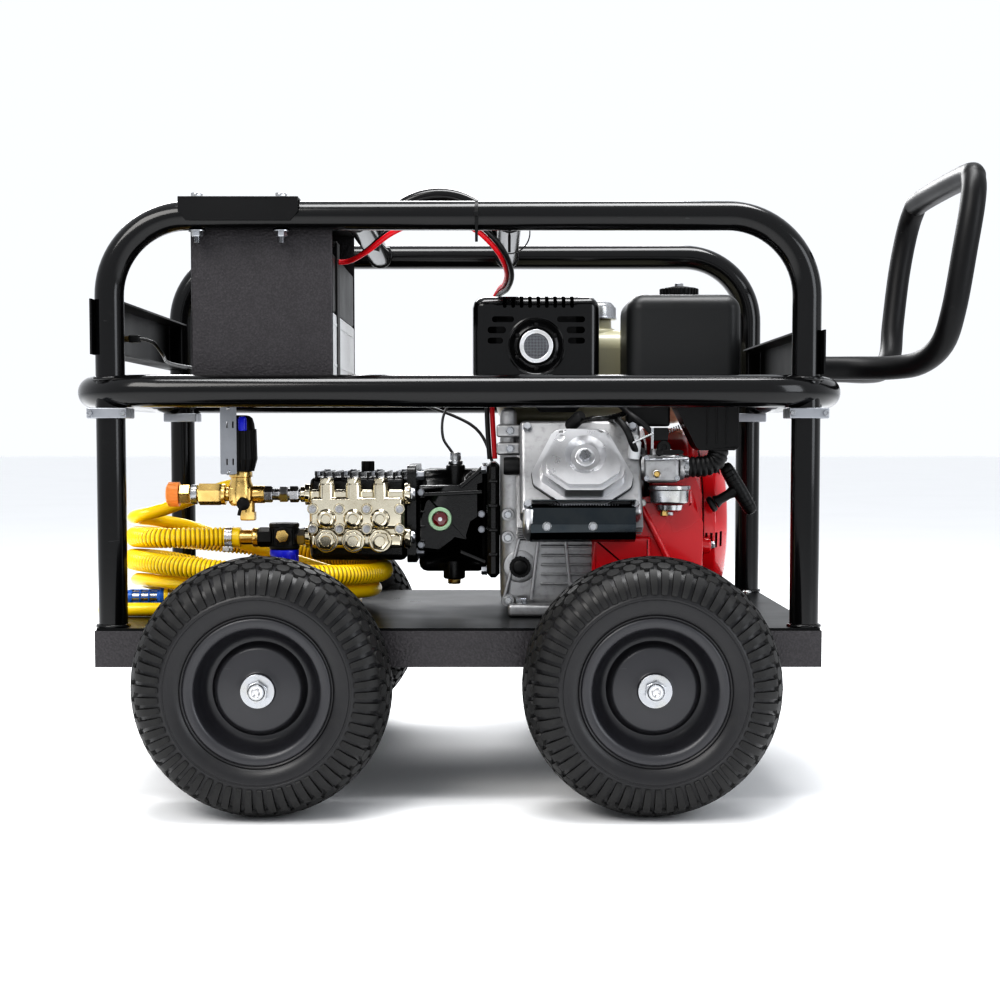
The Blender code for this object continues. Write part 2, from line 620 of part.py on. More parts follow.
def build_carburettor():
    carb = place("carburettor", box_mesh("carburettor", (0.2520, -0.185, 0.4120), (0.3000, -0.136, 0.4700),
                                         0.004), CAST_ALUMINIUM)
    unite(carb, turned_mesh("float_bowl", [(0.019, 0.3790), (0.0270, 0.3850), (0.0270, 0.4130)],
                            (0.0, 0.0, 1.0), (0.2880, -0.166, 0.0), 20),
          box_mesh("throat", (0.2490, -0.178, 0.4300), (0.3160, -0.142, 0.4610)))
    place("choke_lever", box_mesh("choke_lever", (-0.004, -0.0035, 0.0), (0.034, 0.0, 0.007), 0.0008),
          BLACK_PLASTIC, (0.2720, -0.1853, 0.4560))


def build_oil_plug():
    place("oil_filler_plug", turned_mesh("oil_plug", [(0.0150, 0.0003), (0.0150, 0.012), (0.0125, 0.015)],
                                         (0.0, -1.0, 0.0), sides=16), BLACK_PLASTIC,
          (0.083, -0.125, 0.299))


# ---------------------------------------------------------------- drive and pump

def gear_outline(teeth, radius, backlash):
    """Straight-flanked teeth on a pitch circle, thinned by the backlash."""
    outer, inner = radius + 0.85 * GEAR_MODULE, radius - 1.15 * GEAR_MODULE
    pitch = 2.0 * math.pi / teeth
    thin = backlash / radius / 2
    found = []
    for k in range(teeth):
        middle = k * pitch
        for part, r in ((-0.36, inner), (-0.13, outer), (0.13, outer), (0.36, inner)):
            angle = middle + part * pitch - math.copysign(thin, part)
            found.append((r * math.cos(angle), r * math.sin(angle)))
    return found


def along_x(x, y, z):
    """The matrix that lays a flat outline square to X, with its own first axis along +Y."""
    turn = Matrix(((0.0, 0.0, 1.0, 0.0), (1.0, 0.0, 0.0, 0.0), (0.0, 1.0, 0.0, 0.0), (0.0, 0.0, 0.0, 1.0)))
    return Matrix.Translation((x, y, z)) @ turn


def build_crankshaft():
    """The engine's crankshaft with its flywheel and, inside the gearbox, the pinion."""
    profile = [(0.011, -0.034), (0.011, 0.036), (0.0150, 0.038), (0.0240, 0.060), (0.0240, 0.262),
               (0.0200, 0.2640), (0.0200, 0.2700), (0.1150, 0.2700), (0.1150, 0.2900), (0.0280, 0.2920),
               (0.0280, 0.3300)]
    shaft = place("crankshaft", turned_mesh("crankshaft", profile, (1.0, 0.0, 0.0), sides=20), STEEL,
                  (0.0, 0.0, CRANK_Z))
    pinion = outline_mesh("pinion", gear_outline(PINION_TEETH, 0.5 * GEAR_MODULE * PINION_TEETH,
                                                 GEAR_BACKLASH), 0.026, along_x(-0.030, 0.0, 0.0))
    unite(shaft, pinion)


def build_pump_shaft():
    """The pump's shaft: the large gear in the gearbox and three eccentrics under the plungers."""
    steps = [(0.010, -0.205), (0.010, -0.050), (0.016, -0.048), (0.016, 0.004)]
    shaft = place("pump_shaft", turned_mesh("pump_shaft", steps, (1.0, 0.0, 0.0), sides=16), STEEL,
                  (0.0, PUMP_SHAFT_Y, CRANK_Z))
    half_tooth = math.pi / PUMP_GEAR_TEETH
    turn = Matrix.Rotation(math.pi + half_tooth, 4, "Z")
    parts = [outline_mesh("gear", gear_outline(PUMP_GEAR_TEETH, 0.5 * GEAR_MODULE * PUMP_GEAR_TEETH,
                                               GEAR_BACKLASH), 0.022, along_x(-0.028, 0.0, 0.0) @ turn)]
    for k, x in enumerate((-0.190, -0.150, -0.110)):
        angle = 2.0 * math.pi * k / 3
        off = (x, 0.006 * math.cos(angle), 0.006 * math.sin(angle))
        parts.append(turned_mesh("eccentric", [(0.0165, 0.0), (0.0165, 0.016)], (1.0, 0.0, 0.0), off, 16))
    unite(shaft, *parts)


def build_gearbox():
    low, high = Vector((-0.0780, -0.070, 0.2800)), Vector((0.0360, 0.122, 0.4360))
    box = place("gearbox_housing", box_mesh("gearbox_housing", low, high, 0.016, 2), BLACK_CASTING)
    unite(box, rod_mesh("drain_boss", (-0.012, 0.0, 0.272), (-0.012, 0.0, 0.300), 0.016),
          rod_mesh("vent_boss", (-0.010, 0.0, 0.420), (-0.010, 0.0, 0.448), 0.014))
    cut(box, rod_mesh("pinion_room", (-0.038, 0.0, CRANK_Z), (0.06, 0.0, CRANK_Z), 0.029, 20),
        rod_mesh("gear_room", (-0.036, PUMP_SHAFT_Y, CRANK_Z), (0.06, PUMP_SHAFT_Y, CRANK_Z), 0.0505, 24),
        rod_mesh("shaft_bore", (-0.1, PUMP_SHAFT_Y, CRANK_Z), (0.0, PUMP_SHAFT_Y, CRANK_Z), 0.0185, 16))
    place("sight_glass", turned_mesh("sight_glass", [(0.0170, 0.0003), (0.0170, 0.006), (0.0135, 0.0085)],
                                     (0.0, -1.0, 0.0), (-0.0305, -0.070, 0.363), 20), GREEN_PLASTIC)
    flange = place("adapter_flange", box_mesh("adapter_flange", (0.0365, -0.078, 0.2790),
                                              (0.0547, 0.128, 0.4440), 0.006), BLACK_CASTING)
    cut(flange, rod_mesh("shaft_hole", (0.0, 0.0, CRANK_Z), (0.1, 0.0, CRANK_Z), 0.0260, 20))


def build_pump():
    low, high = Vector((-0.2200, -0.0480, 0.3020)), Vector((-0.0785, 0.118, 0.4300))
    case = place("pump_crankcase", box_mesh("pump_crankcase", low, high, 0.012, 2), BLACK_CASTING)
    unite(case, rod_mesh("oil_cap", (-0.141, 0.030, 0.42), (-0.141, 0.030, 0.4450), 0.010))
    cut(case, rod_mesh("shaft_room", (-0.208, PUMP_SHAFT_Y, CRANK_Z), (0.0, PUMP_SHAFT_Y, CRANK_Z),
                       0.0250, 20))
    head = place("pump_head", box_mesh("pump_head", (-0.2150, -0.105, 0.3260), (-0.0800, -0.0483, 0.4080),
                                       0.006), NICKEL)
    shapes = []
    for x in (-0.1900, -0.1520, -0.1140):
        shapes.append(rod_mesh("outlet_boss", (x, -0.090, 0.395), (x, -0.090, 0.4230), 0.0115, 12))
        shapes.append(rod_mesh("upper_plug", (x, -0.1150, 0.3650), (x, -0.100, 0.3650), 0.0120, 12))
        shapes.append(rod_mesh("lower_plug", (x, -0.1230, 0.3340), (x, -0.100, 0.3340), 0.0155, 12))
    shapes.append(rod_mesh("outlet_gallery", (-0.2280, -0.085, 0.3990), (-0.0650, -0.085, 0.3990), 0.0110))
    shapes.append(rod_mesh("inlet_gallery", (-0.2220, -0.085, 0.3380), (-0.0650, -0.085, 0.3380), 0.0125))
    unite(head, *shapes)


UNLOADER = Vector((-0.3130, -0.085, 0.3990))


def build_unloader():
    """Brass unloader valve on the pump's outlet line, with its pressure knob and outlet coupling."""
    x, y, z = UNLOADER
    line = rod_mesh("outlet_line", (-0.4000, y, z), (-0.2284, y, z), 0.0105, 12)
    body = place("unloader_body", line, BRASS)
    unite(body, turned_mesh("valve", [(0.0180, -0.018), (0.0205, 0.0), (0.0160, 0.024), (0.0150, 0.0400)],
                            (0.0, 0.0, 1.0), (x, y, z), 16),
          rod_mesh("relief_elbow", (x + 0.010, y, z - 0.038), (x + 0.010, y, z), 0.0120),
          rod_mesh("bypass_port", (x, y, z + 0.012), (x, y + 0.0340, z + 0.012), 0.0105),
          rod_mesh("hex_left", (-0.3750, y, z), (-0.3480, y, z), 0.0150, 6),
          rod_mesh("hex_right", (-0.2750, y, z), (-0.2550, y, z), 0.0150, 6))
    place("outlet_cap", turned_mesh("outlet_cap", [(0.0165, 0.0), (0.0175, 0.0020), (0.0175, 0.0180)],
                                    (-1.0, 0.0, 0.0), (-0.4003, y, z), 20), ORANGE_PLASTIC)
    knob = [(0.0180, 0.0003), (0.0240, 0.010), (0.0230, 0.060), (0.0170, 0.092), (0.010, 0.0980)]
    place("unloader_knob", turned_mesh("knob", knob, sides=16), BLACK_PLASTIC, (x, y, z + 0.0400))


FILTER = Vector((-0.2520, -0.085, 0.3380))


def build_inlet_filter():
    x, y, z = FILTER
    body = place("inlet_filter", turned_mesh("filter_head", [(0.0215, -0.017), (0.0215, 0.0190)],
                                             (0.0, 0.0, 1.0), (x, y, z), 20), BLACK_PLASTIC)
    unite(body, rod_mesh("pump_side", (x, y, z), (-0.2224, y, z), 0.0100, 12),
          rod_mesh("hex_nut", (-0.2920, y, z), (x, y, z), 0.0140, 6),
          turned_mesh("barb", [(0.0120, 0.0), (0.0120, 0.012), (0.0090, 0.014), (0.0090, 0.024)],
                      (-1.0, 0.0, 0.0), (-0.2900, y, z), 12))
    place("filter_bowl", turned_mesh("filter_bowl", [(0.0205, 0.0), (0.0205, -0.016), (0.014, -0.0205)],
                                     (0.0, 0.0, 1.0), (x, y, z - 0.0173), 20), BLUE_PLASTIC)


def suction_route():
    """From the inlet filter's barb, two loose turns over the deck to the strainer."""
    return [(-0.3143, -0.0850, 0.3380), (-0.3400, -0.0850, 0.3380), (-0.4050, -0.0960, 0.3375),
            (-0.4450, -0.0820, 0.3370), (-0.4720, -0.0400, 0.3355), (-0.4790, 0.0100, 0.3340),
            (-0.4650, 0.0700, 0.3300), (-0.4250, 0.1250, 0.3220), (-0.3600, 0.1560, 0.3130),
            (-0.2800, 0.1620, 0.3040), (-0.2000, 0.1430, 0.2940), (-0.1420, 0.0920, 0.2850),
            (-0.1180, 0.0200, 0.2840), (-0.1280, -0.0600, 0.2845), (-0.1700, -0.1250, 0.2870),
            (-0.2400, -0.1620, 0.2910), (-0.3200, -0.1680, 0.2960), (-0.3950, -0.1480, 0.3010),
            (-0.4500, -0.1020, 0.3045), (-0.4780, -0.0400, 0.3035), (-0.4720, 0.0200, 0.3000),
            (-0.4380, 0.0700, 0.2920), (-0.3850, 0.0980, 0.2780), (-0.3200, 0.1000, 0.2620),
            (-0.2550, 0.0850, 0.2510), (-0.2100, 0.0450, 0.2455), (-0.1980, -0.0100, 0.2445),
            (-0.2200, -0.0620, 0.2445), (-0.2750, -0.0980, 0.2460), (-0.3450, -0.1060, 0.2510),
            (-0.3980, -0.1060, 0.2548), (-0.4180, -0.1060, 0.2548)]


def bypass_route():
    """From the unloader's bypass port, left and down, then two turns that lie on the deck."""
    return [(-0.3130, -0.0507, 0.4110), (-0.3130, -0.0380, 0.4110), (-0.3260, -0.0050, 0.4105),
            (-0.3520, 0.0150, 0.4060), (-0.3900, 0.0200, 0.3930), (-0.4400, 0.0020, 0.3740),
            (-0.4780, 0.0000, 0.3640), (-0.4890, 0.0380, 0.3590), (-0.4700, 0.0850, 0.3540),
            (-0.4250, 0.1000, 0.3450), (-0.3600, 0.1160, 0.3220), (-0.2800, 0.1240, 0.2960),
            (-0.2050, 0.1030, 0.2750), (-0.1500, 0.0600, 0.2610), (-0.1280, 0.0000, 0.2580),
            (-0.1430, -0.0660, 0.2590), (-0.1950, -0.1180, 0.2640), (-0.2700, -0.1420, 0.2690),
            (-0.3500, -0.1420, 0.2735), (-0.4200, -0.1200, 0.2780), (-0.4620, -0.0700, 0.2765),
            (-0.4740, 0.0000, 0.2680), (-0.4520, 0.0700, 0.2560), (-0.3950, 0.1200, 0.2455),
            (-0.3150, 0.1350, 0.2400), (-0.2350, 0.1200, 0.2397), (-0.1780, 0.0740, 0.2397),
            (-0.1580, 0.0050, 0.2397), (-0.1760, -0.0680, 0.2397), (-0.2350, -0.1230, 0.2397),
            (-0.3200, -0.1350, 0.2397), (-0.4100, -0.1340, 0.2397), (-0.4700, -0.1330, 0.2397),
            (-0.5050, -0.1330, 0.2397)]


def build_hoses():
    tube("suction_hose", smooth_points(suction_route(), 0.050), SUCTION_HOSE_R, YELLOW_HOSE, resolution=2)
    tube("bypass_hose", smooth_points(bypass_route(), 0.050), BYPASS_HOSE_R, YELLOW_HOSE, resolution=2)
    end = suction_route()[-1]
    profile = [(0.0110, 0.0), (0.0125, 0.004), (0.0100, 0.012), (0.0095, 0.040), (0.0100, 0.052),
               (0.0060, 0.0550)]
    place("suction_strainer", turned_mesh("suction_strainer", profile, (-1.0, 0.0, 0.0),
                                          (end[0] - GAP, end[1], end[2]), 16), BLUE_PLASTIC)


def build_battery_cables():
    """The starter's lead pair, tied along the cross tubes from the battery box to the engine."""
    route = [(-0.1640, -0.150, 0.7200), (-0.1500, -0.152, 0.7215), (-0.1200, -0.180, 0.7380),
             (-0.0550, -0.212, 0.7435), (0.0000, -0.214, 0.7430), (0.0350, -0.200, 0.7400),
             (0.0600, -0.165, 0.7260), (0.0680, -0.110, 0.7080), (0.0640, -0.050, 0.6960),
             (0.0540, 0.004, 0.6910), (0.0440, 0.0230, 0.6700), (0.0400, 0.0240, 0.6100),
             (0.0400, 0.0240, 0.5200), (0.0440, 0.0220, 0.4480)]
    tube("battery_cables", smooth_points(route, 0.030), 0.0060, CABLE_RED, resolution=2)


# ---------------------------------------------------------------- assembly

build_base_frame()
build_deck()
build_side_hoop("side_hoop_near", -POST_Y)
build_side_hoop("side_hoop_far", POST_Y)
build_bumper()
build_lifting_frame()
build_bumper_clamps()
build_panels()
build_axles()
build_wheels()
build_handle()
build_battery_box()
build_box_bracket()
build_engine_block()
build_valve_cover()
build_heat_shield()
build_red_covers()
build_recoil_grip()
build_muffler()
build_air_cleaner()
build_fuel_tank()
build_carburettor()
build_oil_plug()
build_crankshaft()
build_pump_shaft()
build_gearbox()
build_pump()
build_unloader()
build_inlet_filter()
build_hoses()
build_battery_cables()
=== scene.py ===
"""Looks for the petrol pressure washer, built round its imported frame.

Metres, +Z up. Pieces are laid out from the middle of the trolley's base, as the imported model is,
and MID carries them into place. The long near side faces -Y.
"""
import math
import random

import bmesh
import bpy
from mathutils import Matrix, Vector


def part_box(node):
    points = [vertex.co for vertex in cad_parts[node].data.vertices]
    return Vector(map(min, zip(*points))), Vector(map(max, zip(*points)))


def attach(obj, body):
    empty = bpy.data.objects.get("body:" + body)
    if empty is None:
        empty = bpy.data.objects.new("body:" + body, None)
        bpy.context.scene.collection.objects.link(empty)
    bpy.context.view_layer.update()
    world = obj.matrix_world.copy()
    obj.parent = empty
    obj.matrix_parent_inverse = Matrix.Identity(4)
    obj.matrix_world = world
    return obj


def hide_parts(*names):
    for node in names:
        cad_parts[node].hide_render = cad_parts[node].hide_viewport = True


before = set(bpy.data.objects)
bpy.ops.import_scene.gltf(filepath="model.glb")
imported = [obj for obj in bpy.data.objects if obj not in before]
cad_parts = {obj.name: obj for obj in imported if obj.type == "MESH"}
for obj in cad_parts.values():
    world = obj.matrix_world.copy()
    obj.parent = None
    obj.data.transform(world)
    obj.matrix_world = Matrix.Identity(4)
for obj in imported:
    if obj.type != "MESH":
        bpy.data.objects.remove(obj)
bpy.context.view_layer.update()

BASE_LOW, BASE_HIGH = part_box("base_frame")
MID = Vector(((BASE_LOW.x + BASE_HIGH.x) / 2, 0.0, 0.0))
LEFT, RIGHT, UP, NEAR = Vector((-1, 0, 0)), Vector((1, 0, 0)), Vector((0, 0, 1)), Vector((0, -1, 0))
SHARP = math.radians(46.0)


def box_of(node):
    """A CAD node's corners, laid out from the trolley's middle."""
    low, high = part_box(node)
    return low - MID, high - MID


def middle_of(node):
    low, high = box_of(node)
    return (low + high) / 2


# ---------------------------------------------------------------- solids

def aim(centre, axis=(0, 0, 1), spin=0.0):
    """The matrix that takes +Z to the axis and the origin to the centre."""
    turn = UP.rotation_difference(Vector(axis).normalized()).to_matrix().to_4x4()
    return Matrix.Translation(centre) @ turn @ Matrix.Rotation(spin, 4, "Z")


def cube(low, high, bevel=0.0, segments=2):
    """A box between two corners, its edges rounded by bevel."""
    made = bmesh.new()
    low, high = Vector(low), Vector(high)
    bmesh.ops.create_cube(made, size=1.0)
    bmesh.ops.scale(made, vec=high - low, verts=made.verts)
    bmesh.ops.translate(made, vec=(low + high) / 2, verts=made.verts)
    if bevel:
        bmesh.ops.bevel(made, geom=made.edges, offset=bevel, segments=segments, profile=0.5,
                        affect="EDGES")
    return made


def turned(profile, sides=32, ring=False):
    """A profile of (radius, height) turned about +Z. A ring's profile closes on itself."""
    made = bmesh.new()
    loops = []
    for radius, height in profile:
        if radius < 1e-6:
            loops.append([made.verts.new((0.0, 0.0, height))] * sides)
            continue
        loops.append([made.verts.new((radius * math.cos(2 * math.pi * k / sides),
                                      radius * math.sin(2 * math.pi * k / sides), height))
                      for k in range(sides)])
    pairs = list(zip(loops, loops[1:]))
    if ring:
        pairs.append((loops[-1], loops[0]))
    for first, second in pairs:
        for k in range(sides):
            n = (k + 1) % sides
            corners = [first[k], first[n], second[n], second[k]]
            made.faces.new(list(dict.fromkeys(corners)))
    if not ring:
        for loop in (loops[0], loops[-1]):
            if loop[0] is not loop[1]:
                made.faces.new(loop)
    return made


def rounded(corners, radius, steps=4):
    """A flat outline with its corners rounded. Each corner is (x, y) or (x, y, its own radius)."""
    found = []
    count = len(corners)
    for k, corner in enumerate(corners):
        at = Vector(corner[:2])
        size = corner[2] if len(corner) > 2 else radius
        back = Vector(corners[k - 1][:2]) - at
        ahead = Vector(corners[(k + 1) % count][:2]) - at
        if size <= 0.0:
            found.append(at)
            continue
        half = back.angle(ahead) / 2
        reach = min(size / math.tan(half), 0.49 * back.length, 0.49 * ahead.length)
        first, last = at + back.normalized() * reach, at + ahead.normalized() * reach
        middle = at + (back.normalized() + ahead.normalized()).normalized() * (reach / math.cos(half))
        start, end = first - middle, last - middle
        swing = start.angle_signed(end)
        for m in range(steps + 1):
            angle = -swing * m / steps
            c, s = math.cos(angle), math.sin(angle)
            found.append(middle + Vector((c * start.x - s * start.y, s * start.x + c * start.y)))
    return found


def slab(outline, thickness, bevel=0.0, segments=2, taper=1.0):
    """A flat outline thickened along +Z, its top edge rounded by bevel and drawn in by taper."""
    made = bmesh.new()
    bottom = [made.verts.new((x, y, 0.0)) for x, y in outline]
    top = [made.verts.new((x * taper, y * taper, thickness)) for x, y in outline]
    made.faces.new(bottom)
    lid = made.faces.new(top)
    for k in range(len(outline)):
        n = (k + 1) % len(outline)
        made.faces.new((bottom[k], bottom[n], top[n], top[k]))
    if bevel:
        bmesh.ops.bevel(made, geom=list(lid.edges), offset=bevel, segments=segments, profile=0.5,
                        affect="EDGES")
    return made


def smooth_points(points, spacing):
    """Points at about the spacing along a smooth curve through the given ones."""
    route = [Vector(p) for p in points]
    count = len(route)
    found = []
    for i in range(count - 1):
        p0, p1, p2, p3 = (route[min(max(i + k - 1, 0), count - 1)] for k in range(4))
        steps = max(1, round((p2 - p1).length / spacing))
        for k in range(steps):
            t = k / steps
            found.append(0.5 * (2.0 * p1 + (p2 - p0) * t + (2.0 * p0 - 5.0 * p1 + 4.0 * p2 - p3) * t * t
                                + (3.0 * p1 - 3.0 * p2 + p3 - p0) * t ** 3))
    found.append(route[-1])
    return found


def bend(centre, start, end, steps):
    """Points on a round bend about the centre, from the start point to the end point."""
    first, last = Vector(start) - Vector(centre), Vector(end) - Vector(centre)
    turn = first.rotation_difference(last)
    found = []
    for k in range(steps + 1):
        part = turn.copy()
        part.angle = turn.angle * k / steps
        found.append(Vector(centre) + part @ first)
    return found


def rings(points, closed=False):
    """(point, side, up) along a line, carried without twist."""
    count = len(points)
    found = []
    normal = None
    for k, point in enumerate(points):
        before = points[k - 1] if (k or closed) else point
        after = points[(k + 1) % count] if (k + 1 < count or closed) else point
        tangent = (after - before).normalized()
        if normal is None:
            normal = tangent.cross(UP if abs(tangent.z) < 0.9 else LEFT)
        normal = (normal - tangent * normal.dot(tangent)).normalized()
        found.append((point, normal, tangent.cross(normal)))
    return found


def pipe(points, radius, sides=20, closed=False, rib=None):
    """A round tube along the points. rib gives the radius at each point and turn instead."""
    made = bmesh.new()
    loops = []
    for count, (point, side, up) in enumerate(rings([Vector(p) for p in points], closed)):
        loop = []
        for k in range(sides):
            angle = 2 * math.pi * k / sides
            size = rib(count, angle) if rib else radius
            loop.append(made.verts.new(point + size * (math.cos(angle) * side + math.sin(angle) * up)))
        loops.append(loop)
    pairs = list(zip(loops, loops[1:]))
    if closed:
        pairs.append((loops[-1], loops[0]))
    else:
        made.faces.new(loops[0])
        made.faces.new(loops[-1])
    for first, second in pairs:
        for k in range(sides):
            n = (k + 1) % sides
            made.faces.new((first[k], first[n], second[n], second[k]))
    return made


def knurled(radius, low, count):
    """A round outline whose points step between two radii, as a finger grip does."""
    found = []
    for k in range(count):
        size = radius if k % 2 else low
        angle = math.pi * k / (count / 2)
        found.append((size * math.cos(angle), size * math.sin(angle)))
    return found


def bore(radius, start, end, centre, axis, sides=40):
    """The cutter for a round hole along the axis, from start to end past the centre."""
    return transformed(turned([(radius, start), (radius, end)], sides), aim(centre, axis))


def transformed(made, matrix):
    """The solid itself, moved by the matrix."""
    bmesh.ops.transform(made, matrix=matrix, verts=made.verts)
    return made


def into_mesh(made, name):
    bmesh.ops.recalc_face_normals(made, faces=made.faces)
    data = bpy.data.meshes.new(name)
    made.to_mesh(data)
    made.free()
    return data


class Piece:
    """One visible piece, gathered from simple solids laid out from the trolley's middle."""

    def __init__(self, name):
        self.name = name
        self.bm = bmesh.new()
        self.finishes = []

    def add(self, finish, made, matrix=None):
        if matrix is not None:
            bmesh.ops.transform(made, matrix=matrix, verts=made.verts)
        if finish not in self.finishes:
            self.finishes.append(finish)
        for face in made.faces:
            face.material_index = self.finishes.index(finish)
        data = into_mesh(made, "solid")
        self.bm.from_mesh(data)
        bpy.data.meshes.remove(data)
        return self

    def box(self, finish, low, high, bevel=0.0015, segments=2, matrix=None):
        return self.add(finish, cube(low, high, bevel, segments), matrix)

    def turn(self, finish, profile, centre=(0, 0, 0), axis=(0, 0, 1), sides=32, ring=False):
        return self.add(finish, turned(profile, sides, ring), aim(centre, axis))

    def rod(self, finish, start, end, radius, sides=24, edge=0.0008):
        """A round bar whose end edges are chamfered."""
        along = Vector(end) - Vector(start)
        edge = min(edge, radius / 3, along.length / 3)
        profile = [(radius - edge, 0.0), (radius, edge), (radius, along.length - edge),
                   (radius - edge, along.length)]
        return self.turn(finish, profile, start, along, sides)

    def pipe(self, finish, points, radius, sides=16, closed=False):
        return self.add(finish, pipe(points, radius, sides, closed))

    def slab(self, finish, outline, thickness, matrix, bevel=0.0, segments=2, taper=1.0):
        return self.add(finish, slab(outline, thickness, bevel, segments, taper), matrix)

    def hexagon(self, finish, centre, axis, across, height, spin=0.0, washer=0.0):
        """A hexagon head or nut, chamfered on top, on a washer of the given radius."""
        side = across / math.sqrt(3)
        crown = 0.16 * height
        made = turned([(side, 0.0), (side, height - crown), (side * 0.88, height)], 6)
        washer = min(washer, 0.62 * across)
        lift = Vector(axis).normalized() * (0.0012 if washer else 0.0)
        self.add(finish, made, aim(Vector(centre) + lift, axis, spin))
        if washer:
            self.turn(finish, [(washer - 0.0003, 0.0), (washer, 0.0003), (washer, 0.0011),
                               (washer - 0.0003, 0.0014)], centre, axis, 24)
        return self

    def socket(self, finish, centre, axis, radius, height):
        """A socket cap screw's head with its hexagon recess."""
        hole = 0.5 * radius
        deep = 0.45 * height
        self.turn(finish, [(radius, 0.0), (radius, height * 0.85), (radius * 0.9, height),
                           (hole * 1.15, height), (hole, height - 0.0004), (hole, height - deep),
                           (0.0, height - deep)], centre, axis, 18)
        return self

    def carve(self, *cutters, crossing=False):
        """Cuts the closed solids out of what is gathered so far, which may cross itself."""
        target = bpy.data.objects.new("carved", bpy.data.meshes.new("carved"))
        self.bm.to_mesh(target.data)
        self.bm.free()
        for finish in self.finishes:
            target.data.materials.append(finish)
        bpy.context.scene.collection.objects.link(target)
        made = [target]
        for count, cutter in enumerate(cutters):
            tool = bpy.data.objects.new("cutter", into_mesh(cutter, "cutter"))
            bpy.context.scene.collection.objects.link(tool)
            step = target.modifiers.new(f"cut_{count}", "BOOLEAN")
            step.operation = "DIFFERENCE"
            step.solver = "EXACT"
            step.use_self = crossing
            step.object = tool
            made.append(tool)
        evaluated = target.evaluated_get(bpy.context.evaluated_depsgraph_get())
        data = bpy.data.meshes.new_from_object(evaluated)
        self.bm = bmesh.new()
        self.bm.from_mesh(data)
        bpy.data.meshes.remove(data)
        for old in made:
            bpy.data.objects.remove(old, do_unlink=True)
        return self

    def done(self, body="trolley", slot=None, replaces=(), at=MID):
        data = bpy.data.meshes.new(self.name)
        self.bm.to_mesh(data)
        self.bm.free()
        for finish in self.finishes:
            data.materials.append(finish)
        data.shade_smooth()
        data.set_sharp_from_angle(angle=SHARP)
        made = bpy.data.objects.new(self.name, data)
        made.location = at
        bpy.context.scene.collection.objects.link(made)
        normals = made.modifiers.new("normals", "WEIGHTED_NORMAL")
        normals.keep_sharp = True
        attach(made, body)
        if replaces:
            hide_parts(*replaces)
        return made


# ---------------------------------------------------------------- finishes

class Finish:
    """A Principled material, with short ways to wire procedural detail into it."""

    def __init__(self, name, colour, roughness, metallic=0.0, **sockets):
        self.data = bpy.data.materials.new(name)
        self.data.use_nodes = True
        self.tree = self.data.node_tree
        self.shader = self.tree.nodes["Principled BSDF"]
        self.base = (*colour, 1.0)
        self.shader.inputs["Base Color"].default_value = self.base
        self.shader.inputs["Roughness"].default_value = roughness
        self.shader.inputs["Metallic"].default_value = metallic
        for socket, value in sockets.items():
            self.shader.inputs[socket.replace("_", " ")].default_value = value
        self.place = self.tree.nodes.new("ShaderNodeTexCoord").outputs["Object"]
        self.normal = None

    def node(self, kind, inputs=(), **settings):
        made = self.tree.nodes.new(kind)
        for key, value in settings.items():
            setattr(made, key, value)
        for key, value in dict(inputs).items():
            if isinstance(value, bpy.types.NodeSocket):
                self.tree.links.new(value, made.inputs[key])
            else:
                made.inputs[key].default_value = value
        return made

    def noise(self, scale, detail=3.0, stretch=(1, 1, 1), roughness=0.55):
        at = self.node("ShaderNodeMapping", {"Vector": self.place, "Scale": stretch}).outputs[0]
        return self.node("ShaderNodeTexNoise", {"Vector": at, "Scale": scale, "Detail": detail,
                                                "Roughness": roughness}).outputs["Fac"]

    def cells(self, scale):
        """The distance to the nearest of scattered points, smoothed."""
        return self.node("ShaderNodeTexVoronoi", {"Vector": self.place, "Scale": scale},
                         feature="SMOOTH_F1").outputs["Distance"]

    def spread(self, value, low, high, new_low=0.0, new_high=1.0):
        return self.node("ShaderNodeMapRange", {"Value": value, "From Min": low, "From Max": high,
                                                "To Min": new_low, "To Max": new_high}).outputs[0]

    def tint(self, mask, colour):
        """Turns the colour towards another where the mask is high."""
        made = self.node("ShaderNodeMix", data_type="RGBA")
        self.tree.links.new(mask, made.inputs[0])
        made.inputs[7].default_value = (*colour, 1.0)
        source = self.shader.inputs["Base Color"]
        if source.is_linked:
            self.tree.links.new(source.links[0].from_socket, made.inputs[6])
        else:
            made.inputs[6].default_value = self.base
        self.tree.links.new(made.outputs[2], source)
        return self

    def gloss(self, mask, low, high):
        """Roughness from low to high over the mask."""
        self.tree.links.new(self.spread(mask, 0.0, 1.0, low, high), self.shader.inputs["Roughness"])
        return self

    def relief(self, height, depth, strength=1.0):
        """A bump of the depth in metres, on top of any before it."""
        made = self.node("ShaderNodeBump", {"Height": height, "Distance": depth, "Strength": strength})
        if self.normal:
            self.tree.links.new(self.normal, made.inputs["Normal"])
        self.normal = made.outputs[0]
        self.tree.links.new(self.normal, self.shader.inputs["Normal"])
        return self


def painted(name, colour, roughness, peel, grime=0.5, **sockets):
    """Paint with orange peel, a slow change of gloss, fine dust and rare scuffs."""
    made = Finish(name, colour, roughness, **sockets)
    slow = made.noise(9.0, 2.0)
    made.gloss(slow, roughness * 0.75, roughness * 1.3)
    made.relief(made.noise(240.0, 2.0), peel, 0.6)
    dust = made.spread(made.noise(70.0, 6.0, roughness=0.7), 0.62, 0.78, 0.0, 0.1 * grime)
    made.tint(dust, (0.2, 0.195, 0.18))
    scuff = made.spread(made.noise(38.0, 4.0, (1.0, 1.0, 7.0)), 0.735, 0.76, 0.0, 0.35 * grime)
    made.tint(scuff, (0.2, 0.2, 0.2))
    return made.data


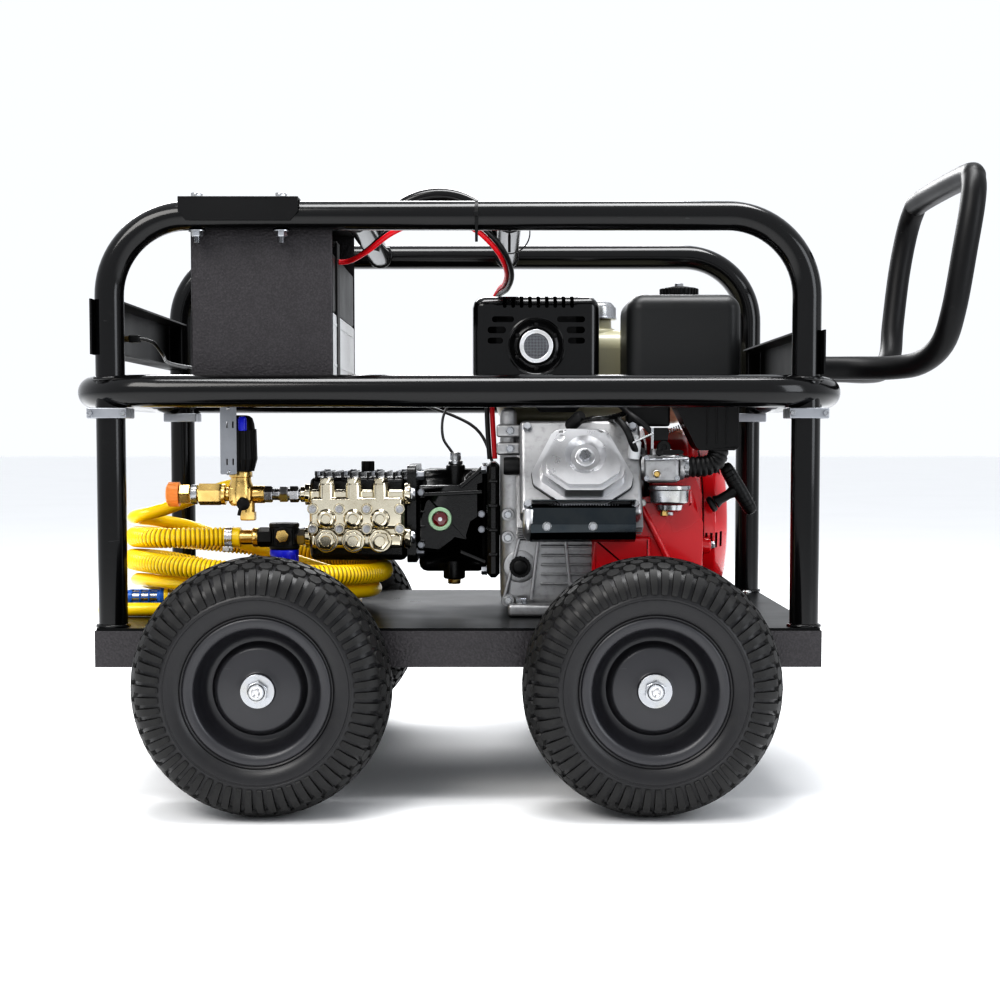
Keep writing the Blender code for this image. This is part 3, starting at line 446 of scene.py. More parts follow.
def hammered(name, colour):
    """Hammered enamel: small round dimples that catch the light, over a mottled ground."""
    made = Finish(name, colour, 0.42, 0.25, Coat_Weight=0.25, Coat_Roughness=0.25)
    dimple = made.cells(330.0)
    made.relief(dimple, 0.0007, 0.75)
    fleck = made.spread(made.noise(420.0, 2.0), 0.42, 0.62)
    made.tint(made.spread(fleck, 0.0, 1.0, 0.0, 0.4), tuple(min(1.0, 2.3 * c) for c in colour))
    mottle = made.spread(made.noise(26.0, 4.0), 0.45, 0.75, 0.0, 0.35)
    made.tint(mottle, tuple(0.55 * c for c in colour))
    made.gloss(made.noise(14.0, 3.0), 0.34, 0.5)
    return made.data


def cast(name, colour, metallic, roughness, grain=0.00035, dark=0.45):
    """A sand or die casting: fine pitted grain, with darker patches as painted shade for its hollows."""
    made = Finish(name, colour, roughness, metallic)
    made.relief(made.noise(620.0, 3.0), grain, 0.55)
    made.relief(made.noise(85.0, 3.0), grain * 2.5, 0.25)
    # Fine darker patches, placed by noise rather than by the bump: painted shade for the pits' hollows.
    # Then a broader darker mottle.
    made.tint(made.spread(made.noise(120.0, 5.0), 0.5, 0.72, 0.0, dark), tuple(0.5 * c for c in colour))
    made.tint(made.spread(made.noise(16.0, 3.0), 0.45, 0.7, 0.0, dark * 0.6),
              tuple(0.68 * c for c in colour))
    made.gloss(made.noise(40.0, 4.0), roughness * 0.75, roughness * 1.25)
    return made.data


def metal(name, colour, roughness, stain=None):
    """Plated, machined or sheet metal with fine working marks."""
    made = Finish(name, colour, roughness, 1.0)
    made.relief(made.noise(700.0, 2.0), 0.00006, 0.5)
    made.gloss(made.noise(60.0, 4.0), roughness * 0.65, roughness * 1.5)
    if stain:
        made.tint(made.spread(made.noise(34.0, 4.0), 0.46, 0.72, 0.0, 0.55), stain)
    made.tint(made.spread(made.noise(230.0, 5.0), 0.6, 0.8, 0.0, 0.3), tuple(0.45 * c for c in colour))
    return made.data


def moulded(name, colour, roughness, grain=0.00012, scale=900.0, **sockets):
    """Moulded plastic: fine spark-eroded grain and a slow change of gloss."""
    made = Finish(name, colour, roughness, **sockets)
    made.relief(made.noise(scale, 2.0), grain, 0.5)
    made.gloss(made.noise(22.0, 3.0), roughness * 0.8, roughness * 1.2)
    made.tint(made.spread(made.noise(60.0, 5.0), 0.55, 0.8, 0.0, 0.18),
              tuple(0.6 * c + 0.012 for c in colour))
    return made.data


def rubber(name, colour, roughness):
    """Black rubber, matt where dust has settled."""
    made = Finish(name, colour, roughness, Specular_IOR_Level=0.42)
    made.relief(made.noise(900.0, 3.0), 0.00018, 0.5)
    made.tint(made.spread(made.noise(48.0, 6.0), 0.5, 0.75, 0.0, 0.35), (0.024, 0.0235, 0.0225))
    made.gloss(made.noise(30.0, 4.0), roughness * 0.8, roughness * 1.2)
    return made.data


GLOSS_BLACK = painted("gloss_black", (0.003, 0.003, 0.0033), 0.17, 0.00005, 0.3, Specular_IOR_Level=0.32,
                      Coat_Weight=0.25, Coat_Roughness=0.06)
SATIN_BLACK = painted("satin_black", (0.0045, 0.0045, 0.005), 0.4, 0.0001, 0.4, Specular_IOR_Level=0.26)
RIM_BLACK = painted("rim_black", (0.02, 0.02, 0.0235), 0.4, 0.00012, 0.5, Specular_IOR_Level=0.55,
                    Coat_Weight=0.2, Coat_Roughness=0.2)
HAMMERED = hammered("hammered_charcoal", (0.026, 0.0235, 0.026))
TYRE = rubber("tyre_rubber", (0.009, 0.0088, 0.0088), 0.5)
SIDEWALL = rubber("sidewall_rubber", (0.015, 0.0148, 0.0162), 0.36)
CAST = cast("cast_aluminium", (0.4, 0.4, 0.405), 0.85, 0.4)
BRIGHT = cast("bright_cover", (0.6, 0.6, 0.61), 0.9, 0.3, 0.00012, 0.1)
DARK_SHEET = metal("dark_sheet", (0.055, 0.062, 0.066), 0.13, (0.03, 0.04, 0.05))
DECK_BLACK = painted("deck_black", (0.006, 0.0065, 0.007), 0.3, 0.00008, 0.8, Specular_IOR_Level=0.12)
RED = painted("red_enamel", (0.56, 0.006, 0.014), 0.26, 0.00007, 0.15, Coat_Weight=0.6, Coat_Roughness=0.08)
BLACK_PLASTIC = moulded("black_plastic", (0.0045, 0.0045, 0.0048), 0.42, Specular_IOR_Level=0.32)
SOFT_BLACK = rubber("soft_black", (0.005, 0.005, 0.0055), 0.5)
BLACK_CASTING = cast("black_casting", (0.0038, 0.0038, 0.004), 0.0, 0.26, 0.00022, 0.25)
BEIGE = painted("beige_enamel", (0.34, 0.325, 0.225), 0.33, 0.00008, 0.4, Coat_Weight=0.3)
NICKEL = metal("nickel_plate", (0.7, 0.65, 0.53), 0.13, (0.46, 0.4, 0.29))
BRASS = metal("brass", (0.7, 0.51, 0.21), 0.24, (0.42, 0.27, 0.09))
ZINC = metal("zinc_plate", (0.42, 0.43, 0.45), 0.26, (0.42, 0.41, 0.36))
STEEL = metal("turned_steel", (0.48, 0.48, 0.49), 0.26)
GREY_STEEL = metal("grey_steel", (0.3, 0.31, 0.33), 0.38)
CHROME = metal("outlet_chrome", (0.82, 0.82, 0.83), 0.16, (0.5, 0.48, 0.44))
BATTERY_GREY = moulded("battery_grey", (0.66, 0.67, 0.68), 0.42)
BLUE = moulded("blue_plastic", (0.01, 0.02, 0.62), 0.28, Coat_Weight=0.2)
RED_PLASTIC = moulded("red_plastic", (0.62, 0.008, 0.008), 0.3)
ORANGE = moulded("orange_plastic", (0.9, 0.3, 0.07), 0.34, Subsurface_Weight=0.12)
PALE_BLUE = moulded("strainer_blue", (0.01, 0.12, 0.5), 0.3)
# Darker yellow for the valleys of the hose's corrugations: painted shade in the grooves.
GROOVE_SHADE = moulded("hose_groove_shade", (0.36, 0.24, 0.004), 0.45)
COVER_BLACK = moulded("cover_black", (0.011, 0.0115, 0.0118), 0.4, Specular_IOR_Level=0.42)
GREEN = moulded("green_ring", (0.42, 0.62, 0.42), 0.22)
GLASS_RED = moulded("sight_oil", (0.16, 0.006, 0.01), 0.06, 0.00002, Coat_Weight=0.8)
YELLOW = moulded("yellow_hose", (0.94, 0.64, 0.004), 0.3, 0.00008, 300.0, Coat_Weight=0.3,
                 Subsurface_Weight=0.08)
CABLE_RED = moulded("cable_red", (0.66, 0.008, 0.02), 0.33)
CABLE_BLACK = moulded("cable_black", (0.012, 0.012, 0.012), 0.33)


# ---------------------------------------------------------------- trolley

HOOP_LOW, HOOP_HIGH = box_of("side_hoop_near")
TUBE_R = (HOOP_HIGH.y - HOOP_LOW.y) / 2
POST_X, POST_Y = HOOP_HIGH.x - TUBE_R, -(HOOP_LOW.y + HOOP_HIGH.y) / 2
RAIL_Z, HOOP_BEND = 0.769, 0.105
BUMPER_LOW, BUMPER_HIGH = box_of("bumper_rail")
BUMPER_R, BUMPER_Z = (BUMPER_HIGH.z - BUMPER_LOW.z) / 2, (BUMPER_HIGH.z + BUMPER_LOW.z) / 2
BUMPER_X, BUMPER_Y = BUMPER_HIGH.x - BUMPER_R, BUMPER_HIGH.y - BUMPER_R
DECK_TOP = box_of("deck_plate")[1].z
WHEEL_X, WHEEL_Y, TYRE_R = middle_of("tyre_far_right")
LIFT_X, CROSS_OFFSET, CROSS_R = -0.034, 0.1015, 0.0168
LIFT_ARCH, LIFT_ARCH_Z = 0.0975, 0.735
HANDLE_Y, HANDLE_Z = 0.05, 0.5788
CORNERS = ((1, -1), (1, 1), (-1, 1), (-1, -1))


def weld(piece, finish, centre, axis, radius, bead=0.0024, seed=1):
    """A rippled bead of weld round a joint."""
    pick = random.Random(seed)
    steps = 56
    middle = []
    for k in range(steps):
        angle = 2 * math.pi * k / steps
        middle.append(Vector((radius * math.cos(angle), radius * math.sin(angle), 0.0)))
    sizes = [bead * (0.86 + 0.3 * pick.random()) for _ in range(steps)]
    made = pipe(middle, bead, 8, closed=True, rib=lambda k, angle: sizes[k])
    piece.add(finish, made, aim(centre, axis))


def build_hoops():
    bend_x, bend_z = POST_X - HOOP_BEND, RAIL_Z - HOOP_BEND
    for name, y in (("near", -POST_Y), ("far", POST_Y)):
        route = [Vector((-POST_X, y, DECK_TOP))]
        route += bend((-bend_x, y, bend_z), (-POST_X, y, bend_z), (-bend_x, y, RAIL_Z), 20)
        route += bend((bend_x, y, bend_z), (bend_x, y, RAIL_Z), (POST_X, y, bend_z), 20)
        route.append(Vector((POST_X, y, DECK_TOP)))
        hoop = Piece(f"hoop_{name}").pipe(GLOSS_BLACK, route, TUBE_R, 40)
        for k, x in enumerate((-POST_X, POST_X)):
            weld(hoop, GLOSS_BLACK, (x, y, DECK_TOP + 0.001), UP, TUBE_R + 0.0005, 0.003, 3 + k)
        hoop.done(slot="gloss_black_paint", replaces=[f"side_hoop_{name}"])


def build_bumper():
    corner = 0.11
    in_x, in_y = BUMPER_X - corner, BUMPER_Y - corner
    route = []
    for sx, sy in CORNERS:
        centre = (sx * in_x, sy * in_y, BUMPER_Z)
        side = (sx * in_x, sy * (in_y + corner), BUMPER_Z)
        end = (sx * BUMPER_X, sy * in_y, BUMPER_Z)
        route += bend(centre, *((side, end) if sx * sy < 0 else (end, side)), 16)
    bumper = Piece("bumper").pipe(GLOSS_BLACK, route, BUMPER_R, 40, closed=True)
    for k, (sx, sy) in enumerate(CORNERS):
        weld(bumper, GLOSS_BLACK, (sx * POST_X, sy * POST_Y, BUMPER_Z + 0.0165), UP, TUBE_R + 0.001, 0.0028,
             11 + k)
    bumper.done(slot="gloss_black_paint", replaces=["bumper_rail"])


def build_clamps():
    """Each collar is two cast halves drawn together by two socket screws."""
    top = BUMPER_Z - BUMPER_R - 0.0003
    for near, sy in (("near", -1), ("far", 1)):
        for side, sx in (("left", -1), ("right", 1)):
            x, y = sx * POST_X, sy * POST_Y
            clamp = Piece(f"clamp_{near}_{side}")
            for part in (-1, 1):
                low, high = sorted((y + part * 0.0007, y + part * 0.026))
                clamp.box(GREY_STEEL, (x - 0.026, low, top - 0.014), (x + 0.026, high, top), 0.0016)
            post = turned([(TUBE_R + 0.0003, -0.1), (TUBE_R + 0.0003, 0.1)], 40)
            clamp.carve(transformed(post, Matrix.Translation((x, y, top))))
            for bolt in (-0.0215, 0.0215):
                clamp.socket(ZINC, (x + bolt, y + sy * 0.0258, top - 0.007), (0, sy, 0), 0.0038, 0.004)
            clamp.done(slot="zinc_plate", replaces=[f"bumper_clamp_{near}_{side}"])


def build_lifting_frame():
    lift = Piece("lifting_rails")
    reach = POST_Y - TUBE_R + 0.002
    for k, x in enumerate((LIFT_X - CROSS_OFFSET, LIFT_X + CROSS_OFFSET)):
        lift.pipe(GLOSS_BLACK, [(x, -reach, RAIL_Z), (x, reach, RAIL_Z)], CROSS_R, 40)
        for sy in (-1, 1):
            weld(lift, GLOSS_BLACK, (x, sy * (reach - 0.004), RAIL_Z), (0, 1, 0), CROSS_R + 0.0004, 0.0026,
                 21 + k)
    arch = []
    for k in range(49):
        angle = math.radians(10.0 + 160.0 * k / 48)
        arch.append((LIFT_X + LIFT_ARCH * math.cos(angle), 0.0, LIFT_ARCH_Z + LIFT_ARCH * math.sin(angle)))
    lift.pipe(GLOSS_BLACK, arch, 0.0095, 28)
    lift.done(slot="gloss_black_paint", replaces=["lifting_frame"])
    ties = Piece("cable_ties")
    for at, axis, radius, tail in (((0.024, -POST_Y, RAIL_Z), RIGHT, TUBE_R + 0.0004, 0.036),
                                   ((LIFT_X + CROSS_OFFSET, -0.15, 0.76), (0.1, 1, 0), 0.028, 0.03)):
        profile = [(radius, -0.0023), (radius + 0.0012, -0.0023), (radius + 0.0012, 0.0023),
                   (radius, 0.0023)]
        ties.turn(BLACK_PLASTIC, profile, at, axis, 40, ring=True)
        ties.box(BLACK_PLASTIC, (at[0] - 0.0035, at[1] - radius - 0.004, at[2] - 0.003),
                 (at[0] + 0.0025, at[1] - radius + 0.001, at[2] + 0.0035), 0.0006)
        ties.box(BLACK_PLASTIC, (at[0] - 0.0018, at[1] - radius - 0.0025, at[2] - tail),
                 (at[0] + 0.0018, at[1] - radius - 0.0012, at[2]), 0.0004)
    ties.done()


def build_handle():
    start = POST_X + TUBE_R + 0.0031
    leg = [(start, -HANDLE_Y, HANDLE_Z), (0.56, -0.055, HANDLE_Z), (0.61, -0.085, 0.5783),
           (0.642, -0.12, 0.584), (0.663, -0.155, 0.608), (0.672, -0.18, 0.655), (0.683, -0.19, 0.735),
           (0.693, -0.187, 0.795), (0.699, -0.168, 0.829), (0.701, -0.125, 0.8405)]
    route = smooth_points(leg + [(x, -y, z) for x, y, z in reversed(leg)], 0.009)
    handle = Piece("handle_bar").pipe(SATIN_BLACK, route, CROSS_R, 36)
    for k, sy in enumerate((-1, 1)):
        weld(handle, SATIN_BLACK, (start + 0.0015, sy * HANDLE_Y, HANDLE_Z), RIGHT, CROSS_R + 0.0004,
             0.0026, 31 + k)
    handle.done(slot="satin_black_paint", replaces=["push_handle"])


def build_base_details():
    """Weld beads, deck screws and bolts that show on the base."""
    trim = Piece("base_fasteners")
    for x in (-0.455, -0.31, 0.31, 0.455):
        for sy in (-1, 1):
            trim.turn(ZINC, [(0.0075, 0.0), (0.0075, 0.001), (0.0055, 0.0035), (0.0, 0.0045)],
                      (x, sy * 0.236, DECK_TOP), UP, 24)
    for x in (-WHEEL_X, WHEEL_X):
        for sy in (-1, 1):
            for dx in (-0.033, 0.033):
                trim.hexagon(GREY_STEEL, (x + dx, sy * 0.285, 0.2025), (0, sy, 0), 0.01, 0.0045, 0.3,
                             0.0085)
    trim.done()
    seams = Piece("base_welds")
    for x in (-0.4525, -WHEEL_X, WHEEL_X, 0.4525):
        for sy in (-1, 1):
            for dx in (-0.025, 0.025):
                route = [(x + dx, sy * 0.2352, 0.182 + 0.0065 * k) for k in range(7)]
                sizes = [0.0026 * (0.8 + 0.35 * (k % 2)) for k in range(7)]
                seams.add(HAMMERED, pipe(route, 0.0026, 8, rib=lambda k, angle: sizes[k]))
    seams.done(slot="hammered_charcoal_paint")


def build_panel_details():
    panel = Piece("panel_fittings")
    face = -(POST_X + TUBE_R)
    inside = face + 0.003
    y, z = -0.2, 0.612
    panel.slab(BLACK_PLASTIC, knurled(0.015, 0.0138, 36), 0.008, aim((inside, y, z), RIGHT), 0.001)
    panel.rod(BLACK_PLASTIC, (inside + 0.007, y, z), (inside + 0.022, y, z), 0.0105)
    for dy in (-0.005, 0.005):
        panel.box(BRASS, (inside + 0.022, y + dy - 0.0016, z - 0.0035),
                  (inside + 0.033, y + dy - 0.0006, z + 0.0035), 0.0002)
        panel.box(SOFT_BLACK, (inside + 0.029, y + dy - 0.004, z - 0.005),
                  (inside + 0.044, y + dy + 0.002, z + 0.005), 0.002)
    panel.pipe(CABLE_BLACK, smooth_points([(inside + 0.042, y - 0.005, z), (inside + 0.06, y, z - 0.004),
                                           (inside + 0.068, y + 0.03, z - 0.02),
                                           (inside + 0.06, y + 0.1, z - 0.026),
                                           (inside + 0.055, y + 0.22, z - 0.026),
                                           (inside + 0.06, y + 0.34, z - 0.026),
                                           (inside + 0.135, y + 0.357, z - 0.042), (-0.33, 0.16, 0.56),
                                           (-0.24, 0.165, 0.556), (-0.12, 0.15, 0.545), (0.01, 0.13, 0.5),
                                           (0.045, 0.11, 0.44)], 0.008), 0.0024, 12)
    for k, (sx, y, z) in enumerate(((-1, -0.235, 0.645), (-1, 0.235, 0.645), (1, -0.235, 0.606),
                                    (1, 0.235, 0.606))):
        panel.hexagon(ZINC, (sx * (POST_X + TUBE_R + 0.0028), y, z - 0.006), (sx, 0, 0), 0.009, 0.004,
                      0.2 * k, 0.008)
    panel.done()


# ---------------------------------------------------------------- wheels

CARCASS = [(0.08, 0.05), (0.086, 0.0512), (0.0915, 0.0532), (0.0932, 0.0556), (0.0948, 0.056),
           (0.0958, 0.0548), (0.0985, 0.0576), (0.103, 0.0602), (0.1085, 0.0617), (0.113, 0.0622),
           (0.1148, 0.0622), (0.1154, 0.0612), (0.1172, 0.0612), (0.1178, 0.0617), (0.12, 0.0612),
           (0.1215, 0.0598), (0.13, 0.0585), (0.138, 0.0556), (0.144, 0.0508), (0.1505, 0.043),
           (0.156, 0.032), (0.1592, 0.018), (0.1602, 0.0)]
LUGS, BLOCKS = 62, 46


def crown(y):
    """The tread's outer radius at a distance from the tyre's middle plane."""
    return TYRE_R - 0.0042 * (y / 0.03) ** 2 - 0.0012 * (y / 0.04) ** 6


def wrapped(sections, angle, wide):
    """A tread block. Each section is (y and radius at its root, y and radius at its face, width share)."""
    made = bmesh.new()
    rows = []
    for root_y, root, face_y, face, share in sections:
        half = wide * share / 2
        rows.append([made.verts.new((r * math.sin(a), y, r * math.cos(a)))
                     for y, r, a in ((root_y, root, angle - half * 1.14), (face_y, face, angle - half),
                                     (face_y, face, angle + half), (root_y, root, angle + half * 1.14))])
    for first, second in zip(rows, rows[1:]):
        for k in range(4):
            n = (k + 1) % 4
            made.faces.new((first[k], first[n], second[n], second[k]))
    made.faces.new(rows[0])
    made.faces.new(rows[-1])
    return made


def tyre_piece(name):
    profile = CARCASS + [(r, -y) for r, y in reversed(CARCASS[:-1])]
    tyre = Piece(name)
    tyre.add(SIDEWALL, turned(profile, 128, ring=True), aim((0, 0, 0), (0, 1, 0)))
    pitch = 2 * math.pi / LUGS
    shoulder = ((0.0585, 0.1212, 0.0606, 0.1212, 0.42), (0.0575, 0.1235, 0.063, 0.124, 0.56),
                (0.055, 0.132, 0.0622, 0.1345, 0.6), (0.051, 0.14, 0.0588, 0.143, 0.62),
                (0.045, 0.145, 0.053, 0.15, 0.6), (0.042, 0.148, 0.049, 0.1525, 0.5))
    for k in range(LUGS):
        for side in (-1, 1):
            sections = [(side * a, b, side * c, d, share) for a, b, c, d, share in shoulder]
            tyre.add(TYRE, wrapped(sections, (k + 0.25 * side) * pitch, pitch))
    pitch = 2 * math.pi / BLOCKS
    for row in range(-3, 4):
        y = 0.0128 * row
        for k in range(BLOCKS):
            sections = [(y + dy, crown(y + dy) - 0.0075, y + dy, crown(y + dy), share)
                        for dy, share in ((-0.006, 0.34), (-0.0026, 0.74), (0.0026, 0.74), (0.006, 0.34))]
            tyre.add(TYRE, wrapped(sections, (k + 0.5 * (row % 2)) * pitch, pitch))
    return tyre


def rim_piece(name):
    rim = Piece(name)
    profile = [(0.0105, 0.0455), (0.0185, 0.0455), (0.02, 0.044), (0.0212, 0.04), (0.0235, 0.0378),
               (0.03, 0.037), (0.05, 0.0345), (0.0535, 0.033), (0.055, 0.03), (0.057, 0.0232),
               (0.06, 0.02), (0.065, 0.02), (0.0695, 0.0235), (0.0735, 0.031), (0.0762, 0.043),
               (0.078, 0.051), (0.08, 0.0545), (0.084, 0.0562), (0.089, 0.0566), (0.0915, 0.0556),
               (0.0925, 0.0535), (0.0915, 0.052), (0.086, 0.0512), (0.079, 0.0505), (0.0788, -0.0505),
               (0.086, -0.052), (0.0915, -0.0535), (0.0928, -0.0565), (0.0905, -0.0585), (0.085, -0.0583),
               (0.0775, -0.0562), (0.074, -0.0525), (0.0722, -0.047), (0.07, 0.006), (0.067, 0.0095),
               (0.06, 0.011), (0.055, 0.015), (0.052, 0.025), (0.025, 0.028), (0.019, 0.024),
               (0.0185, -0.044), (0.0105, -0.044)]
    rim.add(RIM_BLACK, turned(profile, 96, ring=True), aim((0, 0, 0), (0, 1, 0)))
    rim.rod(SOFT_BLACK, (0.0655, 0.004, 0.0), (0.0655, -0.018, 0.0), 0.0042)
    rim.rod(BLACK_PLASTIC, (0.0655, -0.014, 0.0), (0.0655, -0.024, 0.0), 0.005, 12)
    return rim


def build_wheels():
    """Four wheels from one tyre and one rim mesh, the near pair turned round, and their nuts."""
    tyre = rim = None
    for side, x in (("left", -WHEEL_X), ("right", WHEEL_X)):
        for near, sy in (("near", -1), ("far", 1)):
            at = MID + Vector((x, sy * WHEEL_Y, TYRE_R))
            turn = math.pi if sy < 0 else 0.0
            pair = []
            for kind, make, made in (("tyre", tyre_piece, tyre), ("rim", rim_piece, rim)):
                name = f"{kind}_look_{near}_{side}"
                if made is None:
                    shown = make(name).done(f"wheel_{near}_{side}", replaces=[f"{kind}_{near}_{side}"],
                                            at=(0, 0, 0))
                else:
                    shown = bpy.data.objects.new(name, made.data)
                    bpy.context.scene.collection.objects.link(shown)
                    shown.modifiers.new("normals", "WEIGHTED_NORMAL").keep_sharp = True
                shown.matrix_world = Matrix.Translation(at) @ Matrix.Rotation(turn, 4, "Z")
                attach(shown, f"wheel_{near}_{side}")
                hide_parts(f"{kind}_{near}_{side}")
                pair.append(shown)
            tyre, rim = pair
    nuts = Piece("axle_nuts")
    for x in (-WHEEL_X, WHEEL_X):
        for sy in (-1, 1):
            face = Vector((x, sy * (WHEEL_Y + 0.0457), TYRE_R))
            out = Vector((0, sy, 0))
            nuts.turn(ZINC, [(0.0206, 0.0), (0.0212, 0.0004), (0.0212, 0.0018), (0.0205, 0.0023)], face,
                      out, 40)
            nuts.hexagon(ZINC, face + out * 0.0022, out, 0.024, 0.0085, 0.4)
            nuts.turn(ZINC, [(0.0108, 0.0), (0.0108, 0.0012), (0.0095, 0.0028), (0.0072, 0.0028)],
                      face + out * 0.01, out, 36)
            nuts.turn(BATTERY_GREY, [(0.0078, 0.0), (0.0078, 0.0006)], face + out * 0.0124, out, 28)
            nuts.turn(STEEL, [(0.0062, 0.0), (0.0062, 0.002), (0.0052, 0.0028), (0.0034, 0.001),
                              (0.0, 0.0004)], face + out * 0.0122, out, 28)
    nuts.done(slot="zinc_plate")


# ---------------------------------------------------------------- battery box

BOX_LOW, BOX_HIGH = box_of("battery_box")


def build_battery_box():
    case = Piece("battery_case").box(HAMMERED, BOX_LOW, BOX_HIGH, 0.0032, 3)
    wall = Vector((0.0025, 0.0025, 0.0025))
    case.carve(cube(BOX_LOW + wall, (BOX_HIGH.x + 0.05, BOX_HIGH.y - 0.0025, BOX_HIGH.z - 0.0025)))
    case.box(HAMMERED, (BOX_HIGH.x - 0.0025, BOX_LOW.y + 0.002, BOX_LOW.z + 0.002),
             (BOX_HIGH.x, BOX_HIGH.y - 0.002, BOX_LOW.z + 0.014), 0.0008)
    case.done(slot="hammered_charcoal_paint", replaces=["battery_box"])
    low, high = box_of("battery")
    split = 0.648
    cell = Piece("battery_case_and_lid")
    cell.box(BATTERY_GREY, low, (high.x, high.y, split), 0.005, 3)
    cell.box(BLACK_PLASTIC, (low.x + 0.001, low.y + 0.001, split),
             (high.x - 0.001, high.y - 0.001, high.z - 0.014), 0.003, 3)
    for k in range(6):
        y = low.y + 0.03 + k * (high.y - low.y - 0.06) / 5
        cell.turn(BLACK_PLASTIC, [(0.011, 0.0), (0.011, 0.004), (0.0095, 0.0055), (0.0, 0.0055)],
                  ((low.x + high.x) / 2 - 0.02, y, high.z - 0.015), UP, 24)
    for y in (low.y + 0.035, high.y - 0.035):
        cell.rod(STEEL, (high.x - 0.03, y, high.z - 0.016), (high.x - 0.03, y, high.z + 0.001), 0.0085)
    for z in (0.56, 0.575, 0.63):
        cell.box(BATTERY_GREY, (high.x - 0.001, low.y + 0.012, z),
                 (high.x + 0.0006, high.y - 0.012, z + 0.004), 0.0004)
    cell.done(slot="battery_grey", replaces=["battery"])
    strap = Piece("battery_strap")
    strap.box(SOFT_BLACK, (BOX_HIGH.x - 0.03, low.y + 0.052, 0.742),
              (BOX_HIGH.x + 0.0012, low.y + 0.088, 0.745), 0.001)
    strap.box(SOFT_BLACK, (BOX_HIGH.x - 0.0012, low.y + 0.052, 0.56),
              (BOX_HIGH.x + 0.0012, low.y + 0.088, 0.745), 0.001)
    strap.done()
    low_x, high_x = (corner.x for corner in box_of("box_bracket"))
    top = RAIL_Z + TUBE_R + 0.0003
    near = -POST_Y - TUBE_R - 0.0033
    bracket = Piece("bracket_plate")
    shape = rounded([(low_x, -0.205, 0.004), (low_x, near, 0.001), (high_x, near, 0.001),
                     (high_x, -0.205, 0.004)], 0.004)
    bracket.slab(SATIN_BLACK, shape, 0.003, Matrix.Translation((0, 0, top)), 0.0006)
    lip = [(low_x, 0.0), (low_x, -0.018), (low_x + 0.01, -0.03), (high_x - 0.01, -0.03), (high_x, -0.018),
           (high_x, 0.0)]
    bracket.slab(SATIN_BLACK, lip, 0.003, Matrix.Translation((0, near + 0.003, top + 0.002))
                 @ Matrix.Rotation(math.radians(90), 4, "X"), 0.0006)
    bracket.pipe(SATIN_BLACK, [(low_x + 0.0008, near + 0.0028, top + 0.0004),
                               (high_x - 0.0008, near + 0.0028, top + 0.0004)], 0.0027, 20)
    for x in (-0.3414, -0.2312):
        bracket.hexagon(ZINC, (x, -POST_Y, top + 0.003), UP, 0.013, 0.006, 0.3, 0.0115)
        bracket.turn(ZINC, [(0.0112, 0.0), (0.0112, -0.0016)], (x, -POST_Y, RAIL_Z - TUBE_R), UP, 28)
        bracket.hexagon(ZINC, (x, -POST_Y, RAIL_Z - TUBE_R - 0.0012), -UP, 0.013, 0.007, 0.5)
        for k in range(7):
            z = RAIL_Z - TUBE_R - 0.009 - 0.0012 * k
            bracket.turn(ZINC, [(0.0033, 0.0), (0.004, 0.0004), (0.004, 0.0007), (0.0033, 0.0012)],
                         (x, -POST_Y, z), UP, 20)
    bracket.done(slot="satin_black_paint", replaces=["box_bracket"])
    knob = Piece("box_knob")
    knob.turn(BLACK_PLASTIC, [(0.01, -0.002), (0.01, 0.007), (0.008, 0.0095), (0.0, 0.01)],
              (-0.305, BOX_LOW.y - 0.0004, 0.553), (0, -1, 0), 28)
    knob.done()
    leads = Piece("starter_leads")
    low_route = [(-0.164, -0.15, 0.72), (-0.15, -0.152, 0.7215), (-0.124, -0.18, 0.733),
                 (-0.09, -0.204, 0.756), (-0.055, -0.212, 0.768), (0.0, -0.214, 0.768),
                 (0.025, -0.206, 0.76), (0.045, -0.19, 0.744), (0.06, -0.165, 0.726), (0.068, -0.11, 0.708),
                 (0.064, -0.05, 0.696), (0.054, 0.004, 0.691), (0.044, 0.023, 0.67), (0.04, 0.024, 0.61),
                 (0.04, 0.024, 0.52), (0.044, 0.022, 0.448)]
    middle = smooth_points(low_route, 0.006)
    for finish, phase in ((CABLE_RED, 0.0), (CABLE_BLACK, math.pi)):
        route = []
        for k, (point, side, up) in enumerate(rings(middle)):
            angle = phase + 0.055 * k
            route.append(point + 0.004 * (math.cos(angle) * side + math.sin(angle) * up))
        route[0] = route[0] + Vector((-0.006, 0, 0))
        leads.pipe(finish, route, 0.0037, 16)
    leads.done(slot="cable_sheath", replaces=["battery_cables"])


# ---------------------------------------------------------------- engine

CRANK_Z, TILT = middle_of("crankshaft").z, math.radians(25.0)
TILTED = Matrix.Translation((0.0, 0.0, CRANK_Z)) @ Matrix.Rotation(-TILT, 4, "X")
FACING_NEAR = Matrix.Rotation(math.radians(90), 4, "X")
FACING_RIGHT = Matrix(((0, 0, 1, 0), (1, 0, 0, 0), (0, 1, 0, 0), (0, 0, 0, 1)))


def facing(y):
    """Lays a flat (x, z) outline in the plane at y, growing towards the near side."""
    return Matrix.Translation((0.0, y, 0.0)) @ FACING_NEAR


def tilted(along):
    """The point on the cylinder's middle line, at a distance from the crank."""
    return Vector((0.0, -math.cos(TILT) * along, CRANK_Z + math.sin(TILT) * along))


